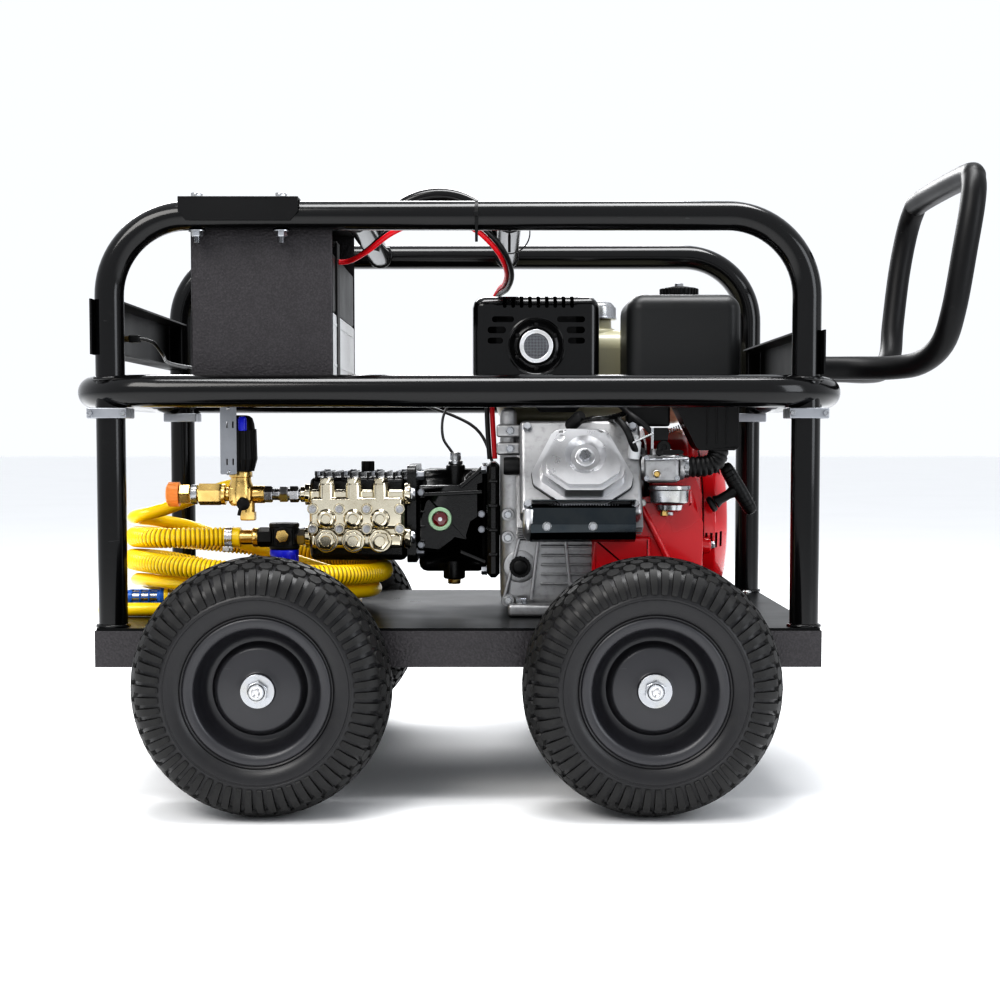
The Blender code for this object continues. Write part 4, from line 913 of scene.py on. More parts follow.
def build_engine_block():
    foot = DECK_TOP + 0.0003
    block = Piece("engine_casting")
    block.box(CAST, (0.0555, -0.125, foot + 0.012), (0.262, 0.135, 0.47), 0.018, 4)
    block.box(CAST, (0.082, -0.155, -0.06), (0.248, -0.04, 0.06), 0.006, 2, TILTED)
    block.box(CAST, (0.0555, -0.118, 0.395), (0.079, 0.06, 0.522), 0.01, 3)
    block.carve(bore(0.0265, 0.0, 0.3, (0, 0, CRANK_Z), RIGHT), crossing=True)
    for k in range(9):
        along = 0.086 + 0.0082 * k
        block.box(CAST, (0.0775, -along - 0.0026, -0.074), (0.252, -along, 0.074), 0.001, 1, TILTED)
    block.box(CAST, (0.082, -0.1955, -0.071), (0.248, -0.16, 0.071), 0.007, 3, TILTED)
    block.box(CAST, (0.096, -0.17, 0.06), (0.23, -0.11, 0.082), 0.006, 3, TILTED)
    for x, y0, y1 in ((0.066, -0.15, -0.085), (0.066, 0.085, 0.15)):
        block.box(CAST, (x, y0, foot), (0.256, y1, foot + 0.018), 0.005, 3)
    for x in (0.085, 0.236):
        for y in (-0.137, 0.137):
            block.hexagon(ZINC, (x, y, foot + 0.018), UP, 0.014, 0.007, 0.4, 0.0125)
    for z in (0.274, 0.287, 0.3, 0.313, 0.326):
        block.box(CAST, (0.112, -0.131, z), (0.182, -0.12, z + 0.0032), 0.001)
    for x, lean in ((0.072, 0.25), (0.104, 0.12), (0.15, -0.1), (0.205, -0.22)):
        spin = Matrix.Translation((x, -0.127, 0.3)) @ Matrix.Rotation(lean, 4, "Y")
        block.box(CAST, (-0.0022, -0.0045, -0.048), (0.0022, 0.006, 0.062), 0.0012, 2, spin)
    block.turn(CAST, [(0.024, 0.0), (0.0225, 0.007), (0.018, 0.0085), (0.0, 0.0085)],
               (0.083, -0.119, 0.299), NEAR, 40)
    for x, z in ((0.066, 0.252), (0.066, 0.372), (0.066, 0.34), (0.236, 0.262), (0.148, 0.252),
                 (0.118, 0.342)):
        block.turn(CAST, [(0.0095, 0.0), (0.0085, 0.009)], (x, -0.122, z), NEAR, 28)
        block.hexagon(ZINC, (x, -0.131, z), NEAR, 0.0095, 0.005, x * 9, 0.0075)
    for z in (0.489, 0.464):
        block.box(CAST, (0.05, -0.128, z - 0.009), (0.084, -0.104, z + 0.009), 0.004, 3)
        block.hexagon(ZINC, (0.069, -0.128, z), NEAR, 0.01, 0.0055, z * 7, 0.008)
    block.turn(SOFT_BLACK, [(0.0115, 0.0), (0.0125, 0.003), (0.0125, 0.02), (0.0105, 0.024), (0.006, 0.024),
                            (0.006, 0.03), (0.0, 0.03)], (0.06, -0.133, 0.44), RIGHT, 32)
    for x in (0.0925, 0.2375):
        for up in (-0.058, 0.058):
            at = TILTED @ Vector((x, -0.1955, up))
            block.hexagon(ZINC, at, tilted(1.0) - tilted(0.0), 0.0105, 0.006, up * 9, 0.0085)
    block.done(slot="cast_aluminium", replaces=["engine_block"])
    front = Piece("side_cover_screws")
    for k in range(9):
        angle = 2 * math.pi * k / 9 + 0.2
        at = (0.262, 0.116 * math.cos(angle), 0.352 + 0.104 * math.sin(angle))
        if at[2] < 0.46:
            front.hexagon(ZINC, at, RIGHT, 0.0095, 0.005, angle)
    front.done()


COVER = [(-0.038, 0.052), (0.034, 0.052), (0.069, -0.018), (0.066, -0.034), (0.031, -0.059),
         (-0.028, -0.059), (-0.067, -0.03), (-0.069, -0.012)]


def cover_outline(scale):
    return rounded([(x * scale, y * scale) for x, y in COVER], 0.011 * scale, 6)


def build_valve_cover():
    at = tilted(0.1963)
    face = Matrix.Translation((0.167, at.y, at.z)) @ Matrix.Rotation(math.radians(90.0) - TILT, 4, "X")
    cover = Piece("rocker_cover")
    cover.slab(BRIGHT, cover_outline(0.86), 0.0225, face @ Matrix.Translation((0, 0, 0.006)), 0.0065, 4,
               0.95)
    cover.slab(BRIGHT, cover_outline(0.74), 0.03, face @ Matrix.Translation((0, 0, 0.006)), 0.003, 3, 0.98)
    cover.carve(transformed(turned([(0.0195, 0.0), (0.025, 0.006), (0.03, 0.0115), (0.03, 0.02)], 48),
                            face @ Matrix.Translation((0.003, 0.001, 0.0265))),
                transformed(turned([(0.003, 0.0), (0.0052, 0.001), (0.0052, 0.006)], 20),
                            face @ Matrix.Translation((-0.03, 0.026, 0.0348))), crossing=True)
    cover.slab(BRIGHT, cover_outline(1.0), 0.006, face @ Matrix.Translation((0, 0, 0.0012)), 0.002, 3)
    cover.slab(SOFT_BLACK, cover_outline(1.012), 0.0016, face @ Matrix.Translation((0, 0, -0.0004)))
    out = face.to_3x3() @ UP
    centre = face @ Vector((0.003, 0.001, 0.0262))
    cover.turn(BRIGHT, [(0.0135, 0.0), (0.0135, 0.0012), (0.012, 0.002), (0.0, 0.002)], centre, out, 36)
    cover.hexagon(ZINC, centre + out * 0.0018, out, 0.0145, 0.0085, 0.2)
    for k in range(26):
        along = -0.046 + 0.0037 * k
        cover.box(BRIGHT, (along, -0.0628, 0.0012), (along + 0.0016, -0.0575, 0.005), 0.0004, 1, face)
    cover.done(slot="bright_cover", replaces=["valve_cover"])


def build_heat_shield():
    shield = Piece("duct_shield")
    outline = [(-0.15, 0.338), (-0.196, 0.338), (-0.209, 0.342), (-0.2155, 0.351), (-0.216, 0.363),
               (-0.211, 0.385), (-0.206, 0.39), (-0.2045, 0.3885), (-0.2092, 0.384), (-0.2138, 0.363),
               (-0.2133, 0.352), (-0.2078, 0.344), (-0.1955, 0.3402), (-0.15, 0.3402)]
    shield.slab(DARK_SHEET, rounded(outline, 0.004, 3), 0.142,
                Matrix.Translation((0.096, 0, 0)) @ FACING_RIGHT)
    shield.add(BRIGHT, pipe([(0.0975, -0.15, 0.345), (0.0955, -0.185, 0.347), (0.094, -0.202, 0.353),
                             (0.0935, -0.209, 0.365), (0.0945, -0.205, 0.381)], 0.0085, 20))
    shield.box(DARK_SHEET, (0.0975, -0.2165, 0.394), (0.238, -0.186, 0.396), 0.0006)
    for x in (0.18, 0.118):
        shield.hexagon(ZINC, (x, -0.215, 0.36), NEAR, 0.01, 0.005, x * 5, 0.0085)
    shield.done(slot="dark_sheet", replaces=["heat_shield"])


def build_red_covers():
    centre = Vector((0.0, 0.0, CRANK_Z))
    fan = Piece("fan_housing")
    fan.turn(RED, [(0.1345, 0.264), (0.135, 0.265), (0.135, 0.316), (0.1325, 0.3235), (0.127, 0.33),
                   (0.119, 0.3375), (0.115, 0.34), (0.06, 0.3405)], centre, RIGHT, 96)
    fan.carve(transformed(turned([(0.121, 0.2), (0.121, 0.317), (0.105, 0.336), (0.06, 0.3365),
                                  (0.06, 0.4)], 64), aim(centre, RIGHT)),
              cube((0.2, -0.2, 0.15), (0.4, 0.2, DECK_TOP + 0.0006)))
    duct = rounded([(0.264, 0.3), (0.338, 0.3), (0.338, 0.4), (0.322, 0.438), (0.296, 0.454),
                    (0.264, 0.454)], 0.006)
    fan.slab(RED, duct, 0.06, facing(-0.064), 0.006, 3)
    skirt = rounded([(0.238, 0.252), (0.337, 0.252), (0.337, 0.362), (0.32, 0.39), (0.26, 0.398),
                     (0.238, 0.398)], 0.005)
    fan.slab(RED, skirt, 0.036, facing(-0.112), 0.007, 3)
    lower = rounded([(0.182, 0.29), (0.264, 0.27), (0.264, 0.343), (0.182, 0.343)], 0.004)
    fan.slab(RED, lower, 0.038, facing(-0.118), 0.006, 3)
    fan.pipe(RED, [(0.25, -0.1495, 0.385), (0.276, -0.151, 0.335), (0.298, -0.1485, 0.29),
                   (0.308, -0.144, 0.262)], 0.0045, 16)
    for x, z in ((0.192, 0.334), (0.192, 0.3), (0.252, 0.389), (0.327, 0.264)):
        fan.hexagon(ZINC, (x, -0.149, z), NEAR, 0.009, 0.0045, z * 20, 0.0072)
    fan.done(slot="red_paint", replaces=["fan_cover"])
    recoil = Piece("recoil_housing")
    recoil.turn(RED, [(0.06, 0.3412), (0.111, 0.3412), (0.1125, 0.3425), (0.1125, 0.356), (0.1105, 0.3605),
                      (0.104, 0.368), (0.096, 0.3755), (0.09, 0.378), (0.045, 0.3788), (0.04, 0.376),
                      (0.0, 0.3755)], centre, RIGHT, 96)
    cutters = [transformed(turned([(0.1, 0.3), (0.1, 0.355), (0.086, 0.37)], 48), aim(centre, RIGHT))]
    for group in range(6):
        for k in range(4):
            turn = Matrix.Rotation(math.radians(60 * group + 12), 4, "X")
            x = 0.344 + 0.0072 * k
            depth = 0.12 - 0.0021 * k * k
            cutters.append(transformed(cube((x, -depth - 0.01, -0.011),
                                            (x + 0.0034, -depth + 0.018, 0.011)),
                                       Matrix.Translation(centre) @ turn))
    recoil.carve(*cutters)
    for k in range(3):
        angle = math.radians(120 * k - 165)
        at = centre + Vector((0.343, 0.115 * math.cos(angle), 0.115 * math.sin(angle)))
        recoil.turn(RED, [(0.0115, -0.004), (0.0115, 0.006), (0.0095, 0.0085)], at, RIGHT, 28)
        recoil.hexagon(ZINC, at + Vector((0.0085, 0, 0)), RIGHT, 0.0095, 0.005, angle, 0.0075)
    recoil.turn(SOFT_BLACK, [(0.1112, 0.3402), (0.1128, 0.3402), (0.1128, 0.3414), (0.1112, 0.3414)],
                centre, RIGHT, 96, ring=True)
    recoil.turn(SOFT_BLACK, [(0.0105, -0.002), (0.012, 0.001), (0.0105, 0.005), (0.007, 0.0055),
                             (0.0, 0.0055)], (0.3505, -0.124, 0.386), (0.86, -0.2, 0.51), 28)
    recoil.done(slot="red_paint", replaces=["recoil_cover"])


def build_recoil_grip():
    lean = Vector((0.86, 0.0, 0.51)).normalized()
    across = Vector((lean.z, 0.0, -lean.x))
    root = Vector((0.356, -0.129, 0.3895))
    grip = Piece("starter_handle")
    grip.turn(BLACK_PLASTIC, [(0.0088, 0.0), (0.0092, 0.0015), (0.007, 0.0065), (0.0066, 0.02),
                              (0.009, 0.03), (0.009, 0.034)], root, lean, 36)
    grip.turn(BLACK_PLASTIC, [(0.003, -0.04), (0.0062, -0.039), (0.0085, -0.036), (0.0095, -0.031),
                              (0.0104, -0.01), (0.0106, 0.0), (0.0104, 0.01), (0.0095, 0.031),
                              (0.0085, 0.036), (0.0062, 0.039), (0.003, 0.04)], root + lean * 0.037, across,
              36)
    for k in range(9):
        along = -0.028 + 0.007 * k
        grip.turn(BLACK_PLASTIC, [(0.009, along - 0.001), (0.0109, along), (0.009, along + 0.001)],
                  root + lean * 0.037, across, 32, ring=True)
    grip.done("starter_grip", "black_plastic", ["recoil_grip"])


def slot_cut(x0, x1, z0, z1, y0, y1):
    """The cutter for a round-ended slot through a wall that faces the near side."""
    half = (z1 - z0) / 2
    shape = rounded([(x0, z0), (x1, z0), (x1, z1), (x0, z1)], half * 0.95, 4)
    return transformed(slab(shape, y1 - y0), facing(y1))


def build_muffler_guard():
    low, high = box_of("muffler_guard")
    low.z = 0.535
    guard = Piece("silencer_guard").box(GLOSS_BLACK, low, high, 0.016, 3)
    wall = 0.0018
    cutters = [cube((low.x + wall, low.y + wall, low.z - 0.02),
                    (high.x - wall, high.y - wall, high.z - wall), 0.0145, 3)]
    middle = Vector((0.1045, low.y, 0.6045))
    cutters.append(bore(0.039, -0.02, 0.02, middle, NEAR, 56))
    for x0, x1, z0, z1 in ((0.044, 0.074, 0.637, 0.645), (0.038, 0.063, 0.622, 0.631),
                           (0.038, 0.059, 0.608, 0.616), (0.133, 0.171, 0.637, 0.645),
                           (0.146, 0.171, 0.622, 0.631), (0.148, 0.171, 0.608, 0.616),
                           (0.044, 0.17, 0.548, 0.555)):
        cutters.append(slot_cut(x0, x1, z0, z1, low.y - 0.01, low.y + 0.01))
    for k in range(9):
        x = 0.059 + 0.0115 * k
        turn = Matrix.Translation((x, low.y + 0.006, high.z - 0.006)) @ Matrix.Rotation(math.radians(-45),
                                                                                        4, "X")
        cutters.append(transformed(cube((0.0, -0.014, -0.0115), (0.0048, 0.014, 0.0115), 0.0015, 2), turn))
    for row in range(7):
        for k in range(9):
            y = low.y + 0.022 + 0.017 * k + (0.0085 if row % 2 else 0.0)
            if y < high.y - 0.012:
                cutters.append(bore(0.0042, -0.01, 0.01, (low.x, y, 0.562 + 0.0145 * row), RIGHT, 12))
    guard.carve(*cutters)
    guard.turn(GLOSS_BLACK, [(0.0405, 0.0), (0.0405, 0.0024), (0.0385, 0.003), (0.0365, 0.0015),
                             (0.032, -0.005), (0.0262, -0.007), (0.0262, -0.0095), (0.033, -0.0075),
                             (0.038, -0.0012)], middle, NEAR, 72, ring=True)
    for k in range(6):
        angle = math.radians(60 * k + 30)
        at = middle + Vector((0.03 * math.cos(angle), 0.0045, 0.03 * math.sin(angle)))
        guard.turn(SATIN_BLACK, [(0.0034, 0.0), (0.0034, 0.0012), (0.0024, 0.0022), (0.0, 0.0022)], at,
                   NEAR, 20)
    guard.done(slot="gloss_black_paint", replaces=["muffler_guard"])
    outlet = Piece("silencer_outlet")
    outlet.turn(CHROME, [(0.0232, -0.004), (0.0236, 0.0), (0.023, 0.001), (0.0224, 0.0013), (0.018, 0.0013),
                         (0.0174, 0.001), (0.0172, -0.003),
                         (0.0172, -0.012), (0.0232, -0.012)], middle, NEAR, 64, ring=True)
    outlet.turn(SATIN_BLACK, [(0.0175, -0.016), (0.0175, -0.015), (0.0, -0.015)], middle, NEAR, 32)
    for k in range(-8, 9):
        off = 0.002 * k
        half = math.sqrt(max(0.0, 0.0175 ** 2 - off ** 2))
        for a, b in (((off, -half), (off, half)), ((-half, off), (half, off))):
            outlet.rod(GREY_STEEL, middle + Vector((a[0], -0.0008, a[1])),
                       middle + Vector((b[0], -0.0008, b[1])), 0.00036, 6, 0.0001)
    outlet.done()


def build_air_cleaner():
    stud = middle_of("air_cleaner_knob")
    stud.z = 0.0
    cover = Piece("cleaner_cover")
    cover.box(COVER_BLACK, (0.229, -0.17, 0.52), (0.386, -0.014, 0.676), 0.022, 6)
    cover.carve(cube((0.244, -0.155, 0.49), (0.371, -0.03, 0.65), 0.01, 3),
                cube((0.2, -0.2, 0.48), (0.42, 0.02, 0.56)), crossing=True)
    cover.box(COVER_BLACK, (0.2282, -0.1708, 0.56), (0.3868, -0.013, 0.5645), 0.0015)
    cover.turn(BLACK_PLASTIC, [(0.029, 0.6745), (0.029, 0.6763), (0.0215, 0.6763)], stud, UP, 48)
    cover.done(slot="black_plastic", replaces=["air_cleaner_cover"])
    base = Piece("cleaner_base")
    base.box(BLACK_PLASTIC, (0.231, -0.168, 0.548), (0.384, -0.012, 0.5597), 0.004, 3)
    silencer = rounded([(0.297, 0.552), (0.297, 0.52), (0.3244, 0.466), (0.33, 0.462), (0.379, 0.462),
                        (0.3835, 0.468), (0.3835, 0.552)], 0.004, 4)
    base.slab(BLACK_PLASTIC, silencer, 0.062, facing(-0.104), 0.005, 3)
    for k in range(3):
        x = 0.338 + 0.013 * k
        base.box(BLACK_PLASTIC, (x, -0.1672, 0.47), (x + 0.0022, -0.165, 0.54), 0.0008)
    base.pipe(ZINC, [stud + UP * 0.54, stud + UP * 0.695], 0.003, 20)
    base.done(slot="black_plastic", replaces=["air_cleaner_base"])
    elbow = Piece("intake_elbow")
    route = smooth_points([(0.356, -0.15, 0.468), (0.356, -0.152, 0.456), (0.35, -0.154, 0.445),
                           (0.336, -0.156, 0.44), (0.318, -0.157, 0.439), (0.308, -0.157, 0.439)], 0.0022)
    elbow.add(SOFT_BLACK, pipe(route, 0.013, 32, rib=lambda k, a: 0.0142 if k % 3 else 0.0126))
    elbow.turn(ZINC, [(0.0148, 0.0), (0.0154, 0.0), (0.0154, 0.007), (0.0148, 0.007)],
               (0.314, -0.157, 0.439), LEFT, 36, ring=True)
    elbow.socket(ZINC, (0.311, -0.173, 0.439), NEAR, 0.0034, 0.004)
    elbow.done()
    knob = Piece("cleaner_nut")
    knob.turn(BLACK_PLASTIC, [(0.0036, 0.6768), (0.0245, 0.6768), (0.0258, 0.6782), (0.0258, 0.6878),
                              (0.024, 0.6895), (0.015, 0.69), (0.014, 0.6912), (0.01, 0.6915),
                              (0.0036, 0.6915)], stud, UP, 48, ring=True)
    for k in range(28):
        angle = 2 * math.pi * k / 28
        off = Vector((0.026 * math.cos(angle), 0.026 * math.sin(angle), 0.0))
        knob.rod(BLACK_PLASTIC, stud + off + UP * 0.6772, stud + off + UP * 0.6885, 0.0015, 10)
    knob.turn(ZINC, [(0.004, 0.691), (0.0062, 0.6915), (0.0058, 0.696), (0.0036, 0.6965), (0.0036, 0.691)],
              stud, UP, 6, ring=True)
    knob.done("cleaner_knob", "black_plastic", ["air_cleaner_knob"])


def build_fuel_tank():
    neck = middle_of("fuel_cap")
    neck.z = 0.0
    tank = Piece("petrol_tank").box(BEIGE, (0.05, 0.03, 0.5), (0.345, 0.225, 0.64), 0.03, 6)
    tank.box(BEIGE, (0.047, 0.027, 0.566), (0.348, 0.228, 0.57), 0.0018, 2)
    tank.turn(BEIGE, [(0.033, 0.638), (0.029, 0.642), (0.0245, 0.644), (0.024, 0.6558), (0.0185, 0.6558),
                      (0.0185, 0.63), (0.033, 0.63)], neck, UP, 56, ring=True)
    tank.box(SATIN_BLACK, (0.08, 0.06, 0.4705), (0.25, 0.12, 0.51), 0.003)
    tank.done(slot="beige_paint", replaces=["fuel_tank"])
    cap = Piece("petrol_cap")
    cap.slab(ZINC, knurled(0.0312, 0.0296, 40), 0.018, Matrix.Translation(neck + UP * 0.6565), 0.0016)
    cap.turn(ZINC, [(0.0315, 0.6563), (0.0322, 0.6572), (0.0318, 0.66), (0.02, 0.6605)], neck, UP, 56)
    cap.turn(ZINC, [(0.029, 0.674), (0.0285, 0.677), (0.024, 0.6815), (0.012, 0.6838), (0.0, 0.684)],
             neck, UP, 56)
    cap.turn(BLACK_PLASTIC, [(0.016, 0.637), (0.0165, 0.638), (0.0165, 0.6566)], neck, UP, 36)
    cap.done("fuel_cap_turn", "zinc_plate", ["fuel_cap"])


def build_carburettor():
    carb = Piece("carburettor_body")
    carb.box(CAST, (0.252, -0.18, 0.418), (0.3, -0.14, 0.456), 0.005, 3)
    carb.turn(CAST, [(0.0165, 0.0), (0.0175, 0.002), (0.0175, 0.006), (0.014, 0.008), (0.014, 0.052),
                     (0.0175, 0.054), (0.0175, 0.058), (0.0165, 0.06)], (0.248, -0.158, 0.439), RIGHT, 36)
    carb.box(CAST, (0.262, -0.178, 0.454), (0.292, -0.146, 0.464), 0.003, 2)
    carb.turn(ZINC, [(0.0285, 0.4135), (0.029, 0.412), (0.029, 0.4085), (0.027, 0.407), (0.0262, 0.392),
                     (0.0245, 0.389), (0.019, 0.387), (0.0175, 0.38), (0.012, 0.3775), (0.0, 0.377)],
              (0.288, -0.164, 0.0), UP, 48)
    carb.hexagon(BRASS, (0.28, -0.17, 0.3775), (0, -0.2, -1), 0.009, 0.006)
    carb.hexagon(ZINC, (0.288, -0.164, 0.3775), -UP, 0.011, 0.005, 0.3)
    carb.turn(BLACK_PLASTIC, [(0.0096, 0.0), (0.0096, 0.006), (0.0084, 0.0075), (0.004, 0.0075),
                              (0.0036, 0.006), (0.0, 0.006)], (0.278, -0.18, 0.466), NEAR, 28)
    carb.rod(ZINC, (0.252, -0.188, 0.449), (0.312, -0.188, 0.451), 0.0017, 12)
    carb.rod(ZINC, (0.308, -0.188, 0.4505), (0.308, -0.15, 0.4505), 0.003, 16)
    carb.turn(BRASS, [(0.005, 0.0), (0.005, 0.006), (0.0034, 0.007), (0.0034, 0.012), (0.0, 0.012)],
              (0.268, -0.1795, 0.43), NEAR, 20)
    for k in range(9):
        carb.turn(STEEL, [(0.0046, 0.0), (0.0052, 0.0005), (0.0046, 0.001)],
                  (0.268, -0.186 - 0.0013 * k, 0.43), NEAR, 20, ring=True)
    for x in (0.255, 0.297):
        for z in (0.424, 0.452):
            carb.socket(ZINC, (x, -0.1795, z), NEAR, 0.0038, 0.0035)
    carb.box(ZINC, (0.26, -0.189, 0.464), (0.264, -0.187, 0.493), 0.0006)
    carb.box(BLACK_PLASTIC, (0.264, -0.185, 0.475), (0.284, -0.18, 0.493), 0.0015)
    carb.done(slot="cast_aluminium", replaces=["carburettor"])
    lever = Piece("choke_handle")
    root = Vector((0.272, -0.1853, 0.456))
    blade = rounded([(-0.005, 0.0), (0.03, 0.0005), (0.034, 0.0035), (0.03, 0.007), (-0.005, 0.007)], 0.003)
    lever.slab(BLACK_PLASTIC, blade, 0.0033, Matrix.Translation(root) @ FACING_NEAR, 0.0008)
    lever.turn(BLACK_PLASTIC, [(0.0052, 0.0), (0.0052, 0.004), (0.004, 0.005), (0.0, 0.005)],
               root + Vector((0, 0, 0.0035)), NEAR, 24)
    lever.done("choke", "black_plastic", ["choke_lever"])
    lines = Piece("engine_lines")
    lines.pipe(SOFT_BLACK, smooth_points([(0.205, -0.12, 0.5), (0.214, -0.165, 0.505),
                                          (0.226, -0.185, 0.492), (0.236, -0.18, 0.47),
                                          (0.246, -0.165, 0.452)], 0.003), 0.0046, 16)
    lines.pipe(SOFT_BLACK, smooth_points([(0.19, -0.06, 0.53), (0.212, -0.13, 0.53), (0.232, -0.176, 0.512),
                                          (0.252, -0.185, 0.496), (0.268, -0.18, 0.478)], 0.003), 0.0038,
               16)
    lines.pipe(BLACK_CASTING, smooth_points([(0.16, -0.165, 0.5), (0.18, -0.196, 0.505),
                                             (0.2, -0.19, 0.506), (0.224, -0.15, 0.512),
                                             (0.24, -0.09, 0.52)], 0.003), 0.0036, 16)
    lines.turn(SOFT_BLACK, [(0.007, 0.0), (0.009, 0.004), (0.009, 0.024), (0.006, 0.03)],
               (0.15, -0.16, 0.494), (0.5, -0.55, 0.5), 24)
    lines.turn(BATTERY_GREY, [(0.0075, 0.0), (0.0085, 0.002), (0.0085, 0.024), (0.005, 0.027),
                              (0.005, 0.033)], (0.238, -0.17, 0.45), (0.1, 0.0, 1.0), 24)
    for x, y, z, lean in ((0.214, -0.166, 0.505, (0.4, -0.6, 0.0)),
                          (0.243, -0.169, 0.458, (0.4, 0.5, -0.8))):
        lines.turn(ZINC, [(0.005, 0.0), (0.0057, 0.0), (0.0057, 0.004), (0.005, 0.004)], (x, y, z), lean,
                   24, ring=True)
    for k in range(22):
        a = Vector((0.264, -0.15, 0.478)).lerp(Vector((0.33, -0.148, 0.505)), k / 21)
        lines.turn(STEEL, [(0.003, 0.0), (0.0038, 0.0007), (0.003, 0.0014)], a, (0.066, 0.002, 0.027), 14,
                   ring=True)
    lines.rod(ZINC, (0.235, -0.188, 0.472), (0.264, -0.188, 0.486), 0.0016, 10)
    lines.box(BLACK_PLASTIC, (0.23, -0.15, 0.495), (0.29, -0.12, 0.525), 0.004, 3)
    lines.done()
    plug = Piece("oil_dipstick")
    at = Vector((0.083, -0.1278, 0.299))
    plug.slab(BLACK_PLASTIC, knurled(0.0152, 0.0138, 28), 0.0085, aim(at, NEAR), 0.0012)
    plug.turn(BLACK_PLASTIC, [(0.0105, 0.008), (0.0105, 0.0105), (0.0085, 0.0125), (0.0, 0.0125)], at, NEAR,
              28)
    plug.done("oil_plug", "black_plastic", ["oil_filler_plug"])


# ---------------------------------------------------------------- gearbox and pump

PUMP_AXIS = Vector((0.0, middle_of("pump_shaft").y, CRANK_Z))


def build_gearbox():
    box = Piece("gear_casing")
    box.box(BLACK_CASTING, (-0.0635, -0.012, 0.283), (0.0362, 0.12, 0.433), 0.012, 3)
    body = rounded([(-0.064, 0.316), (-0.064, 0.411), (-0.004, 0.411), (0.015, 0.424), (0.0362, 0.442),
                    (0.0362, 0.3), (0.012, 0.308), (-0.004, 0.316)], 0.006, 4)
    box.slab(BLACK_CASTING, body, 0.068, facing(0.0), 0.006, 3)
    box.rod(BLACK_CASTING, (-0.012, 0.0, 0.272), (-0.012, 0.0, 0.3), 0.016, 32, 0.002)
    box.rod(BLACK_CASTING, (-0.01, 0.0, 0.405), (-0.01, 0.0, 0.44), 0.014, 32, 0.002)
    box.carve(bore(0.029, -0.038, 0.06, (0.0, 0.0, CRANK_Z), RIGHT),
              bore(0.0505, -0.036, 0.06, PUMP_AXIS, RIGHT, 48),
              bore(0.0185, -0.1, 0.0, PUMP_AXIS, RIGHT, 32),
              bore(0.0145, 0.0, 0.02, (-0.0305, -0.066, 0.363), NEAR), crossing=True)
    plate = rounded([(-0.072, 0.3), (0.118, 0.3), (0.118, 0.44), (-0.072, 0.44)], 0.014, 5)
    lid = Piece("gear_casing_plate")
    lid.slab(BLACK_CASTING, plate, 0.013, Matrix.Translation((-0.0778, 0, 0)) @ FACING_RIGHT, 0.002)
    lid.carve(bore(0.0185, -0.1, 0.0, PUMP_AXIS, RIGHT, 32))
    lid.done(slot="black_casting")
    for z in (0.315, 0.425):
        for y in (-0.06, 0.106):
            box.hexagon(GREY_STEEL, (-0.0648, y, z), RIGHT, 0.0115, 0.01, z * 9, 0.009)
    for x0, z0, x1, z1 in ((-0.002, 0.4085, 0.035, 0.44), (-0.002, 0.3165, 0.035, 0.301),
                           (-0.055, 0.398, 0.03, 0.402)):
        along = Vector((x1 - x0, 0, z1 - z0))
        turn = Matrix.Rotation(-math.atan2(z1 - z0, x1 - x0), 4, "Y")
        for y in (-0.07, -0.025, 0.02):
            box.box(BLACK_CASTING, (0, -0.002, -0.003), (along.length, 0.002, 0.003), 0.0014, 2,
                    Matrix.Translation((x0, y, z0)) @ turn)
    for x, z in ((0.0287, 0.37), (0.0287, 0.348), (-0.058, 0.401), (-0.058, 0.326)):
        box.hexagon(GREY_STEEL, (x, -0.0672, z), NEAR, 0.0085, 0.0042, z * 11, 0.0065)
    for k in range(4):
        z = 0.33 + 0.021 * k
        box.box(BLACK_CASTING, (-0.06, -0.0702, z), (-0.052, -0.066, z + 0.003), 0.001)
    box.turn(ZINC, [(0.0095, 0.4395), (0.0105, 0.441), (0.0105, 0.445), (0.008, 0.4465), (0.008, 0.453)],
             (-0.01, 0.0, 0.0), UP, 32)
    box.hexagon(ZINC, (-0.01, 0.0, 0.4515), UP, 0.014, 0.0062, 0.3)
    box.hexagon(BRASS, (-0.012, 0.0, 0.2725), -UP, 0.017, 0.007, 0.2, 0.0125)
    box.done(slot="black_casting", replaces=["gearbox_housing"])
    glass = Piece("oil_window")
    at = Vector((-0.0305, -0.0684, 0.363))
    glass.turn(GREEN, [(0.0165, 0.0), (0.0172, 0.001), (0.0172, 0.0052), (0.0158, 0.007), (0.0122, 0.0072),
                       (0.0108, 0.005), (0.0108, 0.0)], at, NEAR, 56, ring=True)
    glass.turn(GLASS_RED, [(0.0109, 0.0005), (0.0109, 0.003), (0.008, 0.0042), (0.0, 0.0048)], at, NEAR, 40)
    glass.turn(BRIGHT, [(0.003, 0.0044), (0.003, 0.0052), (0.0, 0.0054)], at, NEAR, 20)
    glass.done(slot="green_plastic", replaces=["sight_glass"])
    flange = Piece("adapter_studs")
    for y, z in ((-0.068, 0.434), (-0.068, 0.289), (0.118, 0.434), (0.118, 0.289)):
        flange.hexagon(GREY_STEEL, (0.0365, y, z), LEFT, 0.0115, 0.007, y * 9, 0.009)
    for z in (0.31, 0.345, 0.38, 0.415):
        flange.box(BLACK_CASTING, (0.0385, -0.0805, z), (0.0525, -0.077, z + 0.005), 0.0015)
    flange.pipe(BLACK_PLASTIC, smooth_points([(-0.018, 0.1, 0.54), (-0.03, 0.06, 0.51),
                                              (-0.029, 0.02, 0.48), (-0.018, 0.004, 0.462),
                                              (-0.0105, 0.0, 0.452)], 0.003), 0.002, 12)
    flange.done(slot="black_casting")


